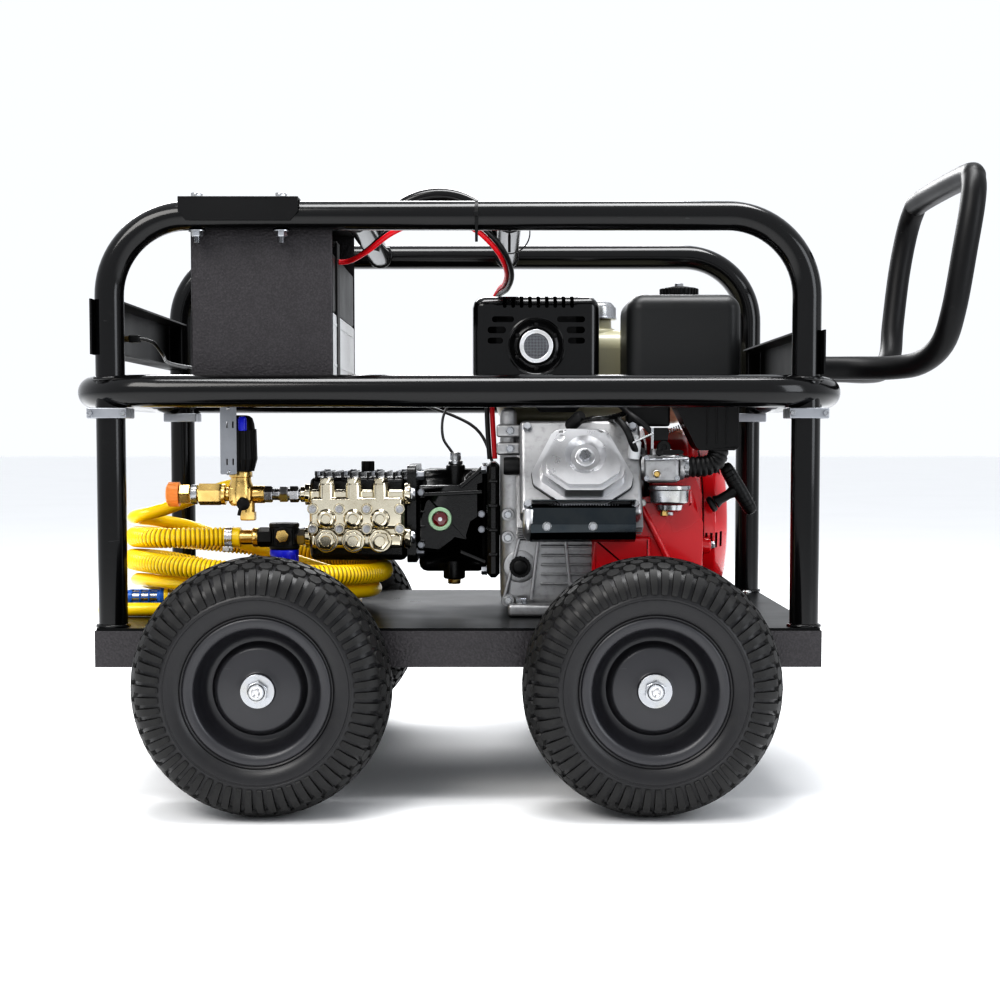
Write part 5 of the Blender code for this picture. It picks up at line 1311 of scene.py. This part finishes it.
def build_pump():
    case = Piece("pump_casing")
    case.box(BLACK_CASTING, (-0.22, -0.048, 0.302), (-0.0788, 0.118, 0.423), 0.01, 3)
    case.carve(bore(0.025, -0.208, 0.0, PUMP_AXIS, RIGHT))
    for k in range(11):
        x = -0.212 + 0.0125 * k
        case.box(BLACK_CASTING, (x, -0.046, 0.415), (x + 0.0032, 0.112, 0.43), 0.0012)
    for x in (-0.208, -0.168, -0.128, -0.09):
        case.socket(GREY_STEEL, (x, -0.04, 0.425), UP, 0.005, 0.006)
        case.socket(GREY_STEEL, (x, 0.1, 0.425), UP, 0.005, 0.006)
    for k in range(6):
        z = 0.318 + 0.017 * k
        case.box(BLACK_CASTING, (-0.2225, -0.03, z), (-0.219, 0.1, z + 0.004), 0.0012)
    case.slab(BLACK_PLASTIC, knurled(0.0098, 0.0086, 24), 0.015, Matrix.Translation((-0.141, 0.03, 0.4295)),
              0.001)
    case.done(slot="black_casting", replaces=["pump_crankcase"])
    head = Piece("manifold")
    head.box(NICKEL, (-0.215, -0.098, 0.33), (-0.08, -0.0483, 0.406), 0.005, 3)
    head.box(NICKEL, (-0.213, -0.105, 0.35), (-0.082, -0.06, 0.396), 0.006, 3)
    head.box(NICKEL, (-0.213, -0.106, 0.323), (-0.082, -0.06, 0.344), 0.006, 3)
    columns = (-0.19, -0.152, -0.114)
    for x in columns:
        head.turn(NICKEL, [(0.0125, 0.0), (0.0125, 0.033), (0.0112, 0.036), (0.0112, 0.0375)],
                  (x, -0.093, 0.378), UP, 40)
        head.hexagon(NICKEL, (x, -0.093, 0.415), UP, 0.0185, 0.0075, x * 30)
        head.turn(NICKEL, [(0.0138, 0.0), (0.0138, 0.005), (0.0125, 0.0062), (0.0118, 0.0066),
                           (0.0118, 0.012), (0.0105, 0.0135), (0.007, 0.0138), (0.0062, 0.0126),
                           (0.0, 0.0126)], (x, -0.102, 0.365), NEAR, 44)
        head.turn(NICKEL, [(0.0168, 0.0), (0.0168, 0.006), (0.0158, 0.0072), (0.015, 0.0074)],
                  (x, -0.101, 0.334), NEAR, 44)
        head.hexagon(NICKEL, (x, -0.108, 0.334), NEAR, 0.024, 0.009, x * 40 + 0.2)
        head.turn(NICKEL, [(0.0098, 0.0), (0.0098, 0.0014), (0.0078, 0.0018), (0.007, 0.0006),
                           (0.0, 0.0006)], (x, -0.1168, 0.334), NEAR, 36)
    for x in (-0.209, -0.1715, -0.133, -0.0865):
        for z in (0.379, 0.351):
            head.turn(NICKEL, [(0.0078, 0.0), (0.0078, 0.003), (0.007, 0.004)], (x, -0.1045, z), NEAR, 28)
            head.socket(STEEL, (x, -0.1085, z), NEAR, 0.0056, 0.006)
    for z, y in ((0.399, -0.085), (0.338, -0.085)):
        head.turn(NICKEL, [(0.015, 0.0), (0.016, 0.0015), (0.016, 0.008), (0.012, 0.0095),
                           (0.0105, 0.0095)], (-0.0805, y, z), RIGHT, 36)
        head.hexagon(ZINC, (-0.0712, y, z), RIGHT, 0.016, 0.0062, 0.2)
        head.turn(NICKEL, [(0.0145, 0.0), (0.015, 0.0015), (0.015, 0.0065), (0.012, 0.008)],
                  (-0.2145, y, z), LEFT, 36)
    head.rod(NICKEL, (-0.228, -0.085, 0.399), (-0.214, -0.085, 0.399), 0.011)
    head.rod(NICKEL, (-0.222, -0.085, 0.338), (-0.214, -0.085, 0.338), 0.012)
    head.done(slot="nickel_plate", replaces=["pump_head"])


UNLOADER = Vector((-0.313, -0.085, 0.399))


def threads(piece, finish, start, axis, radius, count, pitch):
    """Thread ridges along a rod that is already there."""
    for k in range(count):
        at = Vector(start) + Vector(axis).normalized() * (pitch * k)
        piece.turn(finish, [(radius - 0.0008, 0.0), (radius, pitch * 0.3), (radius, pitch * 0.5),
                            (radius - 0.0008, pitch)], at, axis, 24)


def build_unloader():
    x, y, z = UNLOADER
    line = Piece("regulating_valve")
    line.rod(STEEL, (-0.26, y, z), (-0.2284, y, z), 0.0085)
    line.rod(BRASS, (-0.399, y, z), (-0.29, y, z), 0.0098)
    line.hexagon(STEEL, (-0.243, y, z), RIGHT, 0.02, 0.0125, 0.1)
    line.hexagon(STEEL, (-0.257, y, z), RIGHT, 0.0215, 0.011, 0.5)
    line.rod(STEEL, (-0.27, y, z), (-0.256, y, z), 0.0078)
    line.hexagon(STEEL, (-0.279, y, z), RIGHT, 0.0205, 0.011, 0.2)
    threads(line, STEEL, (-0.269, y, z), RIGHT, 0.0084, 8, 0.0014)
    line.rod(BRASS, (-0.296, y, z), (-0.279, y, z), 0.0125)
    line.turn(BRASS, [(0.0135, -0.016), (0.017, -0.012), (0.0185, 0.0), (0.0175, 0.011), (0.0148, 0.018),
                      (0.0142, 0.024), (0.0155, 0.025), (0.0155, 0.031), (0.014, 0.0325), (0.014, 0.0385)],
              (x, y, z), UP, 48)
    line.box(BRASS, (x - 0.0165, y - 0.015, z - 0.012), (x + 0.0165, y + 0.015, z + 0.012), 0.005, 3)
    line.hexagon(BRASS, (x, y, z + 0.025), UP, 0.028, 0.008, 0.2)
    line.rod(BRASS, (x + 0.01, y, z - 0.033), (x + 0.01, y, z), 0.0095)
    line.hexagon(BRASS, (x + 0.01, y, z - 0.025), -UP, 0.0205, 0.012, 0.1)
    line.rod(BRASS, (x, y, z + 0.012), (x, y + 0.034, z + 0.012), 0.0098)
    line.hexagon(BRASS, (x, y + 0.014, z + 0.012), (0, 1, 0), 0.0195, 0.0085)
    line.hexagon(BRASS, (-0.372, y, z), RIGHT, 0.027, 0.034, 0.15)
    line.turn(BRASS, [(0.0145, 0.0), (0.015, 0.001), (0.015, 0.005), (0.0135, 0.006)], (-0.34, y, z), RIGHT,
              36)
    line.turn(ZINC, [(0.0138, 0.0), (0.0142, 0.0006), (0.0142, 0.0078), (0.0138, 0.0084)], (-0.383, y, z),
              RIGHT, 36)
    line.hexagon(BRASS, (-0.399, y, z), RIGHT, 0.0255, 0.0155, 0.4)
    line.turn(BLACK_PLASTIC, [(0.007, 0.0), (0.0088, 0.0015), (0.0088, 0.009), (0.007, 0.0105),
                              (0.0, 0.0105)], (x + 0.006, y - 0.015, z - 0.013), NEAR, 28)
    line.pipe(BLACK_PLASTIC, smooth_points([(x + 0.006, y - 0.021, z - 0.014),
                                            (x + 0.002, y - 0.023, z - 0.021), (x, y - 0.023, z - 0.029)],
                                           0.002), 0.0024, 12)
    line.done(slot="brass", replaces=["unloader_body"])
    gauge = Piece("indicator_plate")
    outline = rounded([(-0.0115, -0.048), (0.0115, -0.048), (0.0115, 0.048), (-0.0115, 0.048)], 0.002)
    at = Matrix.Translation((x - 0.013, y - 0.0265, z + 0.077)) @ FACING_NEAR
    gauge.slab(GREY_STEEL, outline, 0.0016, at, 0.0003)
    cutters = []
    for sx in (-0.002, 0.0065):
        for low in (-0.035, 0.017):
            cutters.append(transformed(cube((sx - 0.001, low, -0.004), (sx + 0.001, low + 0.009, 0.006),
                                            0.0004, 1), at))
    gauge.carve(*cutters)
    gauge.box(GREY_STEEL, (x - 0.016, y - 0.027, z + 0.028), (x - 0.008, y - 0.012, z + 0.03), 0.0004)
    for k in (-0.0445, 0.0445):
        gauge.turn(ZINC, [(0.0024, 0.0), (0.0024, 0.001), (0.0014, 0.0018), (0.0, 0.0018)],
                   (x - 0.013, y - 0.028, z + 0.077 + k), NEAR, 16)
    gauge.done()
    knob = Piece("pressure_dial")
    flutes = []
    for k in range(72):
        size = 0.0236 - (0.0016 if k % 6 in (0, 1) else 0.0)
        flutes.append((size * math.cos(math.pi * k / 36), size * math.sin(math.pi * k / 36)))
    base = Vector((x, y, z + 0.033))
    knob.slab(BLACK_PLASTIC, [(px * 0.8, py * 0.8) for px, py in flutes], 0.017, Matrix.Translation(base),
              taper=1.24)
    knob.slab(BLACK_PLASTIC, flutes, 0.043, Matrix.Translation(base + UP * 0.0165), 0.003, 3, 0.955)
    knob.turn(BLACK_PLASTIC, [(0.0205, 0.059), (0.0195, 0.067), (0.017, 0.075), (0.013, 0.078),
                              (0.009, 0.079)], base, UP, 40)
    knob.turn(BLUE, [(0.0056, 0.0), (0.0064, 0.0012), (0.0064, 0.0165), (0.005, 0.0198), (0.0, 0.0205)],
              base + Vector((0.0055, -0.019, 0.057)), UP, 28)
    knob.done("pressure_knob", "black_plastic", ["unloader_knob"])
    cap = Piece("outlet_cover")
    cap.slab(ORANGE, knurled(0.0176, 0.0166, 40), 0.015, aim((-0.4003, y, z), LEFT), 0.0015)
    cap.turn(ORANGE, [(0.015, 0.013), (0.015, 0.016), (0.013, 0.0178), (0.01, 0.018), (0.009, 0.0165),
                      (0.0, 0.0165)], (-0.4003, y, z), LEFT, 40)
    cap.done(slot="orange_plastic", replaces=["outlet_cap"])


def build_inlet_filter():
    x, y, z = -0.252, -0.085, 0.338
    body = Piece("filter_body")
    body.turn(BLACK_PLASTIC, [(0.02, -0.017), (0.0213, -0.0155), (0.0213, -0.012), (0.02, -0.011),
                              (0.02, 0.014), (0.0213, 0.015), (0.0213, 0.019), (0.0195, 0.0205),
                              (0.011, 0.021)], (x, y, z), UP, 48)
    for k in range(16):
        angle = 2 * math.pi * k / 16
        off = Vector((0.0203 * math.cos(angle), 0.0203 * math.sin(angle), 0))
        body.rod(BLACK_PLASTIC, Vector((x, y, z - 0.01)) + off, Vector((x, y, z + 0.013)) + off, 0.0013, 8)
    body.turn(BLACK_PLASTIC, [(0.0125, 0.0), (0.0125, 0.0215), (0.011, 0.0225)], (x, y, z + 0.003), NEAR,
              36)
    body.hexagon(BRASS, (x, y - 0.0222, z + 0.003), NEAR, 0.0165, 0.006, 0.2)
    body.rod(BLACK_PLASTIC, (x, y, z), (-0.233, y, z), 0.0125)
    body.hexagon(STEEL, (-0.234, y, z), RIGHT, 0.021, 0.0115, 0.3)
    body.hexagon(BLACK_PLASTIC, (x - 0.018, y, z), LEFT, 0.0245, 0.019, 0.1)
    body.turn(BRASS, [(0.0128, 0.0), (0.0135, 0.0008), (0.0135, 0.0062), (0.0118, 0.008), (0.0105, 0.0085)],
              (x - 0.037, y, z), LEFT, 36)
    body.turn(BRASS, [(0.0105, 0.0), (0.0105, 0.02), (0.0095, 0.0215)], (x - 0.043, y, z), LEFT, 32)
    body.done(slot="black_plastic", replaces=["inlet_filter"])
    bowl = Piece("filter_cup")
    bowl.turn(BLUE, [(0.0195, -0.0001), (0.0206, -0.0012), (0.0206, -0.008), (0.0192, -0.0095),
                     (0.0188, -0.014), (0.015, -0.0185), (0.008, -0.0203), (0.0, -0.0205)],
              (x, y, z - 0.0172), UP, 48)
    for k in range(12):
        angle = 2 * math.pi * k / 12
        bowl.box(BLUE, (-0.0012, 0.015, -0.0185), (0.0012, 0.0203, -0.009), 0.0008, 1,
                 Matrix.Translation((x, y, z - 0.0172)) @ Matrix.Rotation(angle, 4, "Z"))
    bowl.done(slot="blue_plastic", replaces=["filter_bowl"])
    clip = Piece("hose_clips")
    at = (-0.325, y, z)
    clip.turn(STEEL, [(0.0146, 0.0), (0.0154, 0.0), (0.0154, 0.0105), (0.0146, 0.0105)], at, LEFT, 48,
              ring=True)
    clip.box(STEEL, (at[0] - 0.0125, at[1] - 0.0195, at[2] - 0.02),
             (at[0] + 0.002, at[1] - 0.008, at[2] - 0.012), 0.0012)
    clip.hexagon(STEEL, (at[0] - 0.005, at[1] - 0.0195, at[2] - 0.016), NEAR, 0.0065, 0.005, 0.3)
    for k in range(6):
        clip.turn(STEEL, [(0.003, 0.0), (0.0036, 0.0005), (0.003, 0.001)],
                  (at[0] - 0.005, at[1] - 0.008 + 0.0014 * k, at[2] - 0.016), (0, 1, 0), 16)
    clip.done()


# ---------------------------------------------------------------- hoses

SUCTION_R, BYPASS_R = 0.014, 0.0095
SUCTION = [(-0.3143, -0.085, 0.338), (-0.34, -0.085, 0.338), (-0.405, -0.096, 0.3375),
           (-0.445, -0.082, 0.337), (-0.472, -0.04, 0.3355), (-0.479, 0.01, 0.334),
           (-0.465, 0.07, 0.33), (-0.425, 0.125, 0.322), (-0.36, 0.156, 0.313),
           (-0.28, 0.162, 0.304), (-0.2, 0.143, 0.294), (-0.142, 0.092, 0.285),
           (-0.118, 0.02, 0.284), (-0.128, -0.06, 0.2845), (-0.17, -0.125, 0.287),
           (-0.24, -0.162, 0.291), (-0.32, -0.168, 0.296), (-0.395, -0.148, 0.301),
           (-0.45, -0.102, 0.3045), (-0.478, -0.04, 0.3035), (-0.472, 0.02, 0.3),
           (-0.438, 0.07, 0.292), (-0.385, 0.098, 0.278), (-0.32, 0.1, 0.262),
           (-0.255, 0.085, 0.251), (-0.21, 0.045, 0.2455), (-0.198, -0.01, 0.2445),
           (-0.22, -0.062, 0.2445), (-0.275, -0.098, 0.246), (-0.345, -0.106, 0.251),
           (-0.398, -0.106, 0.2548), (-0.418, -0.106, 0.2548)]
BYPASS = [(-0.313, -0.0507, 0.411), (-0.313, -0.038, 0.411), (-0.326, -0.005, 0.4105),
          (-0.352, 0.015, 0.406), (-0.39, 0.02, 0.393), (-0.44, 0.002, 0.374),
          (-0.478, 0.0, 0.364), (-0.489, 0.038, 0.359), (-0.47, 0.085, 0.354),
          (-0.425, 0.1, 0.345), (-0.36, 0.116, 0.322), (-0.28, 0.124, 0.296),
          (-0.205, 0.103, 0.275), (-0.15, 0.06, 0.261), (-0.128, 0.0, 0.258),
          (-0.143, -0.066, 0.259), (-0.195, -0.118, 0.264), (-0.27, -0.142, 0.269),
          (-0.35, -0.142, 0.2735), (-0.42, -0.12, 0.278), (-0.462, -0.07, 0.2765),
          (-0.474, 0.0, 0.268), (-0.452, 0.07, 0.256), (-0.395, 0.12, 0.2455),
          (-0.315, 0.135, 0.24), (-0.235, 0.12, 0.2397), (-0.178, 0.074, 0.2397),
          (-0.158, 0.005, 0.2397), (-0.176, -0.068, 0.2397), (-0.235, -0.123, 0.2397),
          (-0.32, -0.135, 0.2397), (-0.41, -0.134, 0.2397), (-0.47, -0.133, 0.2397),
          (-0.505, -0.133, 0.2397)]


def even(points, count):
    """The line again, as count points at equal steps."""
    lengths = [0.0]
    for first, second in zip(points, points[1:]):
        lengths.append(lengths[-1] + (second - first).length)
    found, k = [], 0
    for m in range(count):
        at = lengths[-1] * m / (count - 1)
        while k < len(points) - 2 and lengths[k + 1] < at:
            k += 1
        part = (at - lengths[k]) / (lengths[k + 1] - lengths[k])
        found.append(points[k].lerp(points[k + 1], min(1.0, part)))
    return found, lengths[-1]


def build_strainer():
    """Blue cage over a steel gauze, on the suction hose's end."""
    start = Vector(SUCTION[-1]) + LEFT * 0.0003
    cage = Piece("strainer")
    cage.turn(PALE_BLUE, [(0.0095, -0.012), (0.0125, -0.001), (0.014, 0.001), (0.014, 0.005),
                          (0.0118, 0.0065), (0.0105, 0.01), (0.0, 0.01)], start, LEFT, 40)
    cage.turn(STEEL, [(0.0088, 0.008), (0.0088, 0.047), (0.0, 0.047)], start, LEFT, 40)
    for k in range(8):
        angle = 2 * math.pi * k / 8
        off = Vector((0, 0.0098 * math.cos(angle), 0.0098 * math.sin(angle)))
        cage.rod(PALE_BLUE, start + LEFT * 0.008 + off, start + LEFT * 0.05 + off, 0.0009, 8)
    for along in (0.0205, 0.033, 0.0455):
        cage.turn(PALE_BLUE, [(0.0094, along), (0.0108, along), (0.0108, along + 0.002),
                              (0.0094, along + 0.002)], start, LEFT, 40, ring=True)
    for k in range(20):
        along = 0.01 + 0.0018 * k
        cage.turn(STEEL, [(0.0087, along), (0.0091, along + 0.0003), (0.0087, along + 0.0006)], start, LEFT,
                  32, ring=True)
    cage.turn(PALE_BLUE, [(0.0104, 0.047), (0.0108, 0.049), (0.01, 0.0525), (0.006, 0.0545), (0.0, 0.055)],
              start, LEFT, 40)
    cage.turn(ZINC, [(0.0146, -0.016), (0.0153, -0.016), (0.0153, -0.006), (0.0146, -0.006)], start, LEFT,
              40, ring=True)
    return cage.done(slot="blue_plastic", replaces=["suction_strainer"])


def build_hoses():
    strainer = build_strainer()
    smooth = smooth_points([MID + Vector(p) for p in SUCTION], 0.004)
    pitch = 0.0064
    length = sum((b - a).length for a, b in zip(smooth, smooth[1:]))
    turns = round(length / pitch)
    line, length = even(smooth, turns * 6 + 1)
    shape = (0.012, 0.0128, 0.0143, 0.0146, 0.0144, 0.013)
    sizes = [shape[k % 6] for k in range(len(line))]
    for k in range(len(line)):
        if k < 12 or k > len(line) - 20:
            sizes[k] = 0.0141
    hose = bpy.data.objects.new("suction_hose_look",
                                into_mesh(pipe(line, SUCTION_R, 28, rib=lambda k, a: sizes[k]),
                                          "suction_hose_look"))
    hose.data.materials.append(YELLOW)
    hose.data.materials.append(GROOVE_SHADE)
    hose.data.shade_smooth()
    # Faces in each corrugation's valley take the darker groove yellow: painted shade in the grooves.
    for face in hose.data.polygons:
        ring = min(face.vertices) // 28
        face.material_index = int(ring % 6 in (5, 0) and 12 <= ring <= len(line) - 20)
    bpy.context.scene.collection.objects.link(hose)
    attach(hose, "trolley")
    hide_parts("suction_hose")
    data = bpy.data.curves.new("bypass_hose_look", "CURVE")
    data.dimensions = "3D"
    data.bevel_depth = BYPASS_R
    data.bevel_resolution = 8
    data.use_fill_caps = True
    points = smooth_points([MID + Vector(p) for p in BYPASS], 0.008)
    spline = data.splines.new("POLY")
    spline.points.add(len(points) - 1)
    for slot, point in zip(spline.points, points):
        slot.co = (*point, 1.0)
    spline.use_smooth = True
    data.materials.append(YELLOW)
    made = bpy.data.objects.new("bypass_hose_look", data)
    bpy.context.scene.collection.objects.link(made)
    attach(made, "trolley")
    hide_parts("bypass_hose")


# ---------------------------------------------------------------- the frame's own nodes

LOOKS = {"base_frame": HAMMERED, "deck_plate": DECK_BLACK, "control_panel": SATIN_BLACK,
         "end_panel": SATIN_BLACK, "side_hoop_near": GLOSS_BLACK, "side_hoop_far": GLOSS_BLACK,
         "bumper_rail": GLOSS_BLACK, "lifting_frame": GLOSS_BLACK, "push_handle": SATIN_BLACK,
         "box_bracket": SATIN_BLACK, "battery_box": HAMMERED, "battery": BATTERY_GREY,
         "battery_cables": CABLE_RED, "stop_switch_body": BLACK_PLASTIC, "stop_button": RED_PLASTIC,
         "axle_left": ZINC, "axle_right": ZINC, "engine_block": CAST, "valve_cover": BRIGHT,
         "heat_shield": DARK_SHEET, "fan_cover": RED, "recoil_cover": RED, "recoil_grip": BLACK_PLASTIC,
         "muffler_guard": GLOSS_BLACK, "muffler": SATIN_BLACK, "air_cleaner_cover": BLACK_PLASTIC,
         "air_cleaner_base": BLACK_PLASTIC, "air_cleaner_knob": BLACK_PLASTIC, "fuel_tank": BEIGE,
         "fuel_cap": ZINC, "carburettor": CAST, "choke_lever": BLACK_PLASTIC,
         "oil_filler_plug": BLACK_PLASTIC, "crankshaft": STEEL, "pump_shaft": STEEL,
         "gearbox_housing": BLACK_CASTING, "sight_glass": GREEN, "adapter_flange": BLACK_CASTING,
         "pump_crankcase": BLACK_CASTING, "pump_head": NICKEL, "unloader_body": BRASS, "outlet_cap": ORANGE,
         "unloader_knob": BLACK_PLASTIC, "inlet_filter": BLACK_PLASTIC, "filter_bowl": BLUE,
         "suction_hose": YELLOW, "bypass_hose": YELLOW, "suction_strainer": BLUE, }


def dress_nodes():
    for name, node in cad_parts.items():
        finish = LOOKS.get(name)
        if finish is None:
            finish = {"tyre": TYRE, "rim": RIM_BLACK, "bumper": ZINC}[name.split("_")[0]]
        if not node.material_slots:
            node.data.materials.append(finish)
        for place in node.material_slots:
            place.material = finish


# ---------------------------------------------------------------- studio

def build_studio():
    floor = bpy.data.objects.new("floor", bpy.data.meshes.new("floor"))
    made = bmesh.new()
    bmesh.ops.create_grid(made, x_segments=1, y_segments=1, size=40.0)
    made.to_mesh(floor.data)
    made.free()
    ground = Finish("floor_pale", (0.92, 0.925, 0.93), 0.6)
    ground.relief(ground.noise(60.0, 3.0), 0.0004, 0.2)
    ground.tint(ground.spread(ground.noise(1.6, 3.0), 0.4, 0.7, 0.0, 0.25), (0.86, 0.865, 0.87))
    floor.data.materials.append(ground.data)
    bpy.context.scene.collection.objects.link(floor)
    world = bpy.data.worlds.new("studio")
    bpy.context.scene.world = world
    world.use_nodes = True
    world.node_tree.nodes["Background"].inputs["Color"].default_value = (0.93, 0.95, 0.98, 1.0)
    world.node_tree.nodes["Background"].inputs["Strength"].default_value = 0.62
    for name, at, size, power, colour in (
            ("key", (-1.9, -2.6, 2.9), (2.4, 1.6), 62.0, (1.0, 0.98, 0.95)),
            ("top", (0.2, -0.3, 3.1), (2.6, 0.9), 62.0, (1.0, 1.0, 1.0)),
            ("fill", (2.6, -1.9, 1.3), (1.2, 2.0), 20.0, (0.93, 0.96, 1.0)),
            ("rim", (-0.6, 2.8, 2.2), (2.4, 1.2), 44.0, (1.0, 1.0, 1.0))):
        light = bpy.data.lights.new(name, "AREA")
        light.shape = "RECTANGLE"
        light.size, light.size_y = size
        light.energy = power
        light.color = colour
        lamp = bpy.data.objects.new(name, light)
        lamp.location = at
        lamp.rotation_euler = (Vector((0, 0, 0.4)) - Vector(at)).to_track_quat("-Z", "Y").to_euler()
        bpy.context.scene.collection.objects.link(lamp)


def build_camera():
    """At the photograph's own place: level with the deck's middle, 2.5 m off, looking a little down."""
    data = bpy.data.cameras.new("camera")
    data.sensor_width = 36.0
    data.lens = 61.67
    data.shift_y = 0.039
    camera = bpy.data.objects.new("camera", data)
    camera.location = MID + Vector((0.048, -2.521, 0.48))
    camera.rotation_euler = (math.radians(90.0 - 3.4), 0.0, math.radians(-0.167))
    bpy.context.scene.collection.objects.link(camera)
    bpy.context.scene.camera = camera
    bpy.context.scene.view_settings.view_transform = "Standard"
    bpy.context.scene.view_settings.look = "High Contrast"
    bpy.context.scene.view_settings.exposure = 0.25


dress_nodes()
build_hoops()
build_bumper()
build_clamps()
build_lifting_frame()
build_handle()
build_base_details()
build_panel_details()
build_wheels()
build_battery_box()
build_engine_block()
build_valve_cover()
build_heat_shield()
build_red_covers()
build_recoil_grip()
build_muffler_guard()
build_air_cleaner()
build_fuel_tank()
build_carburettor()
build_gearbox()
build_pump()
build_unloader()
build_inlet_filter()
build_hoses()
build_studio()
build_camera()
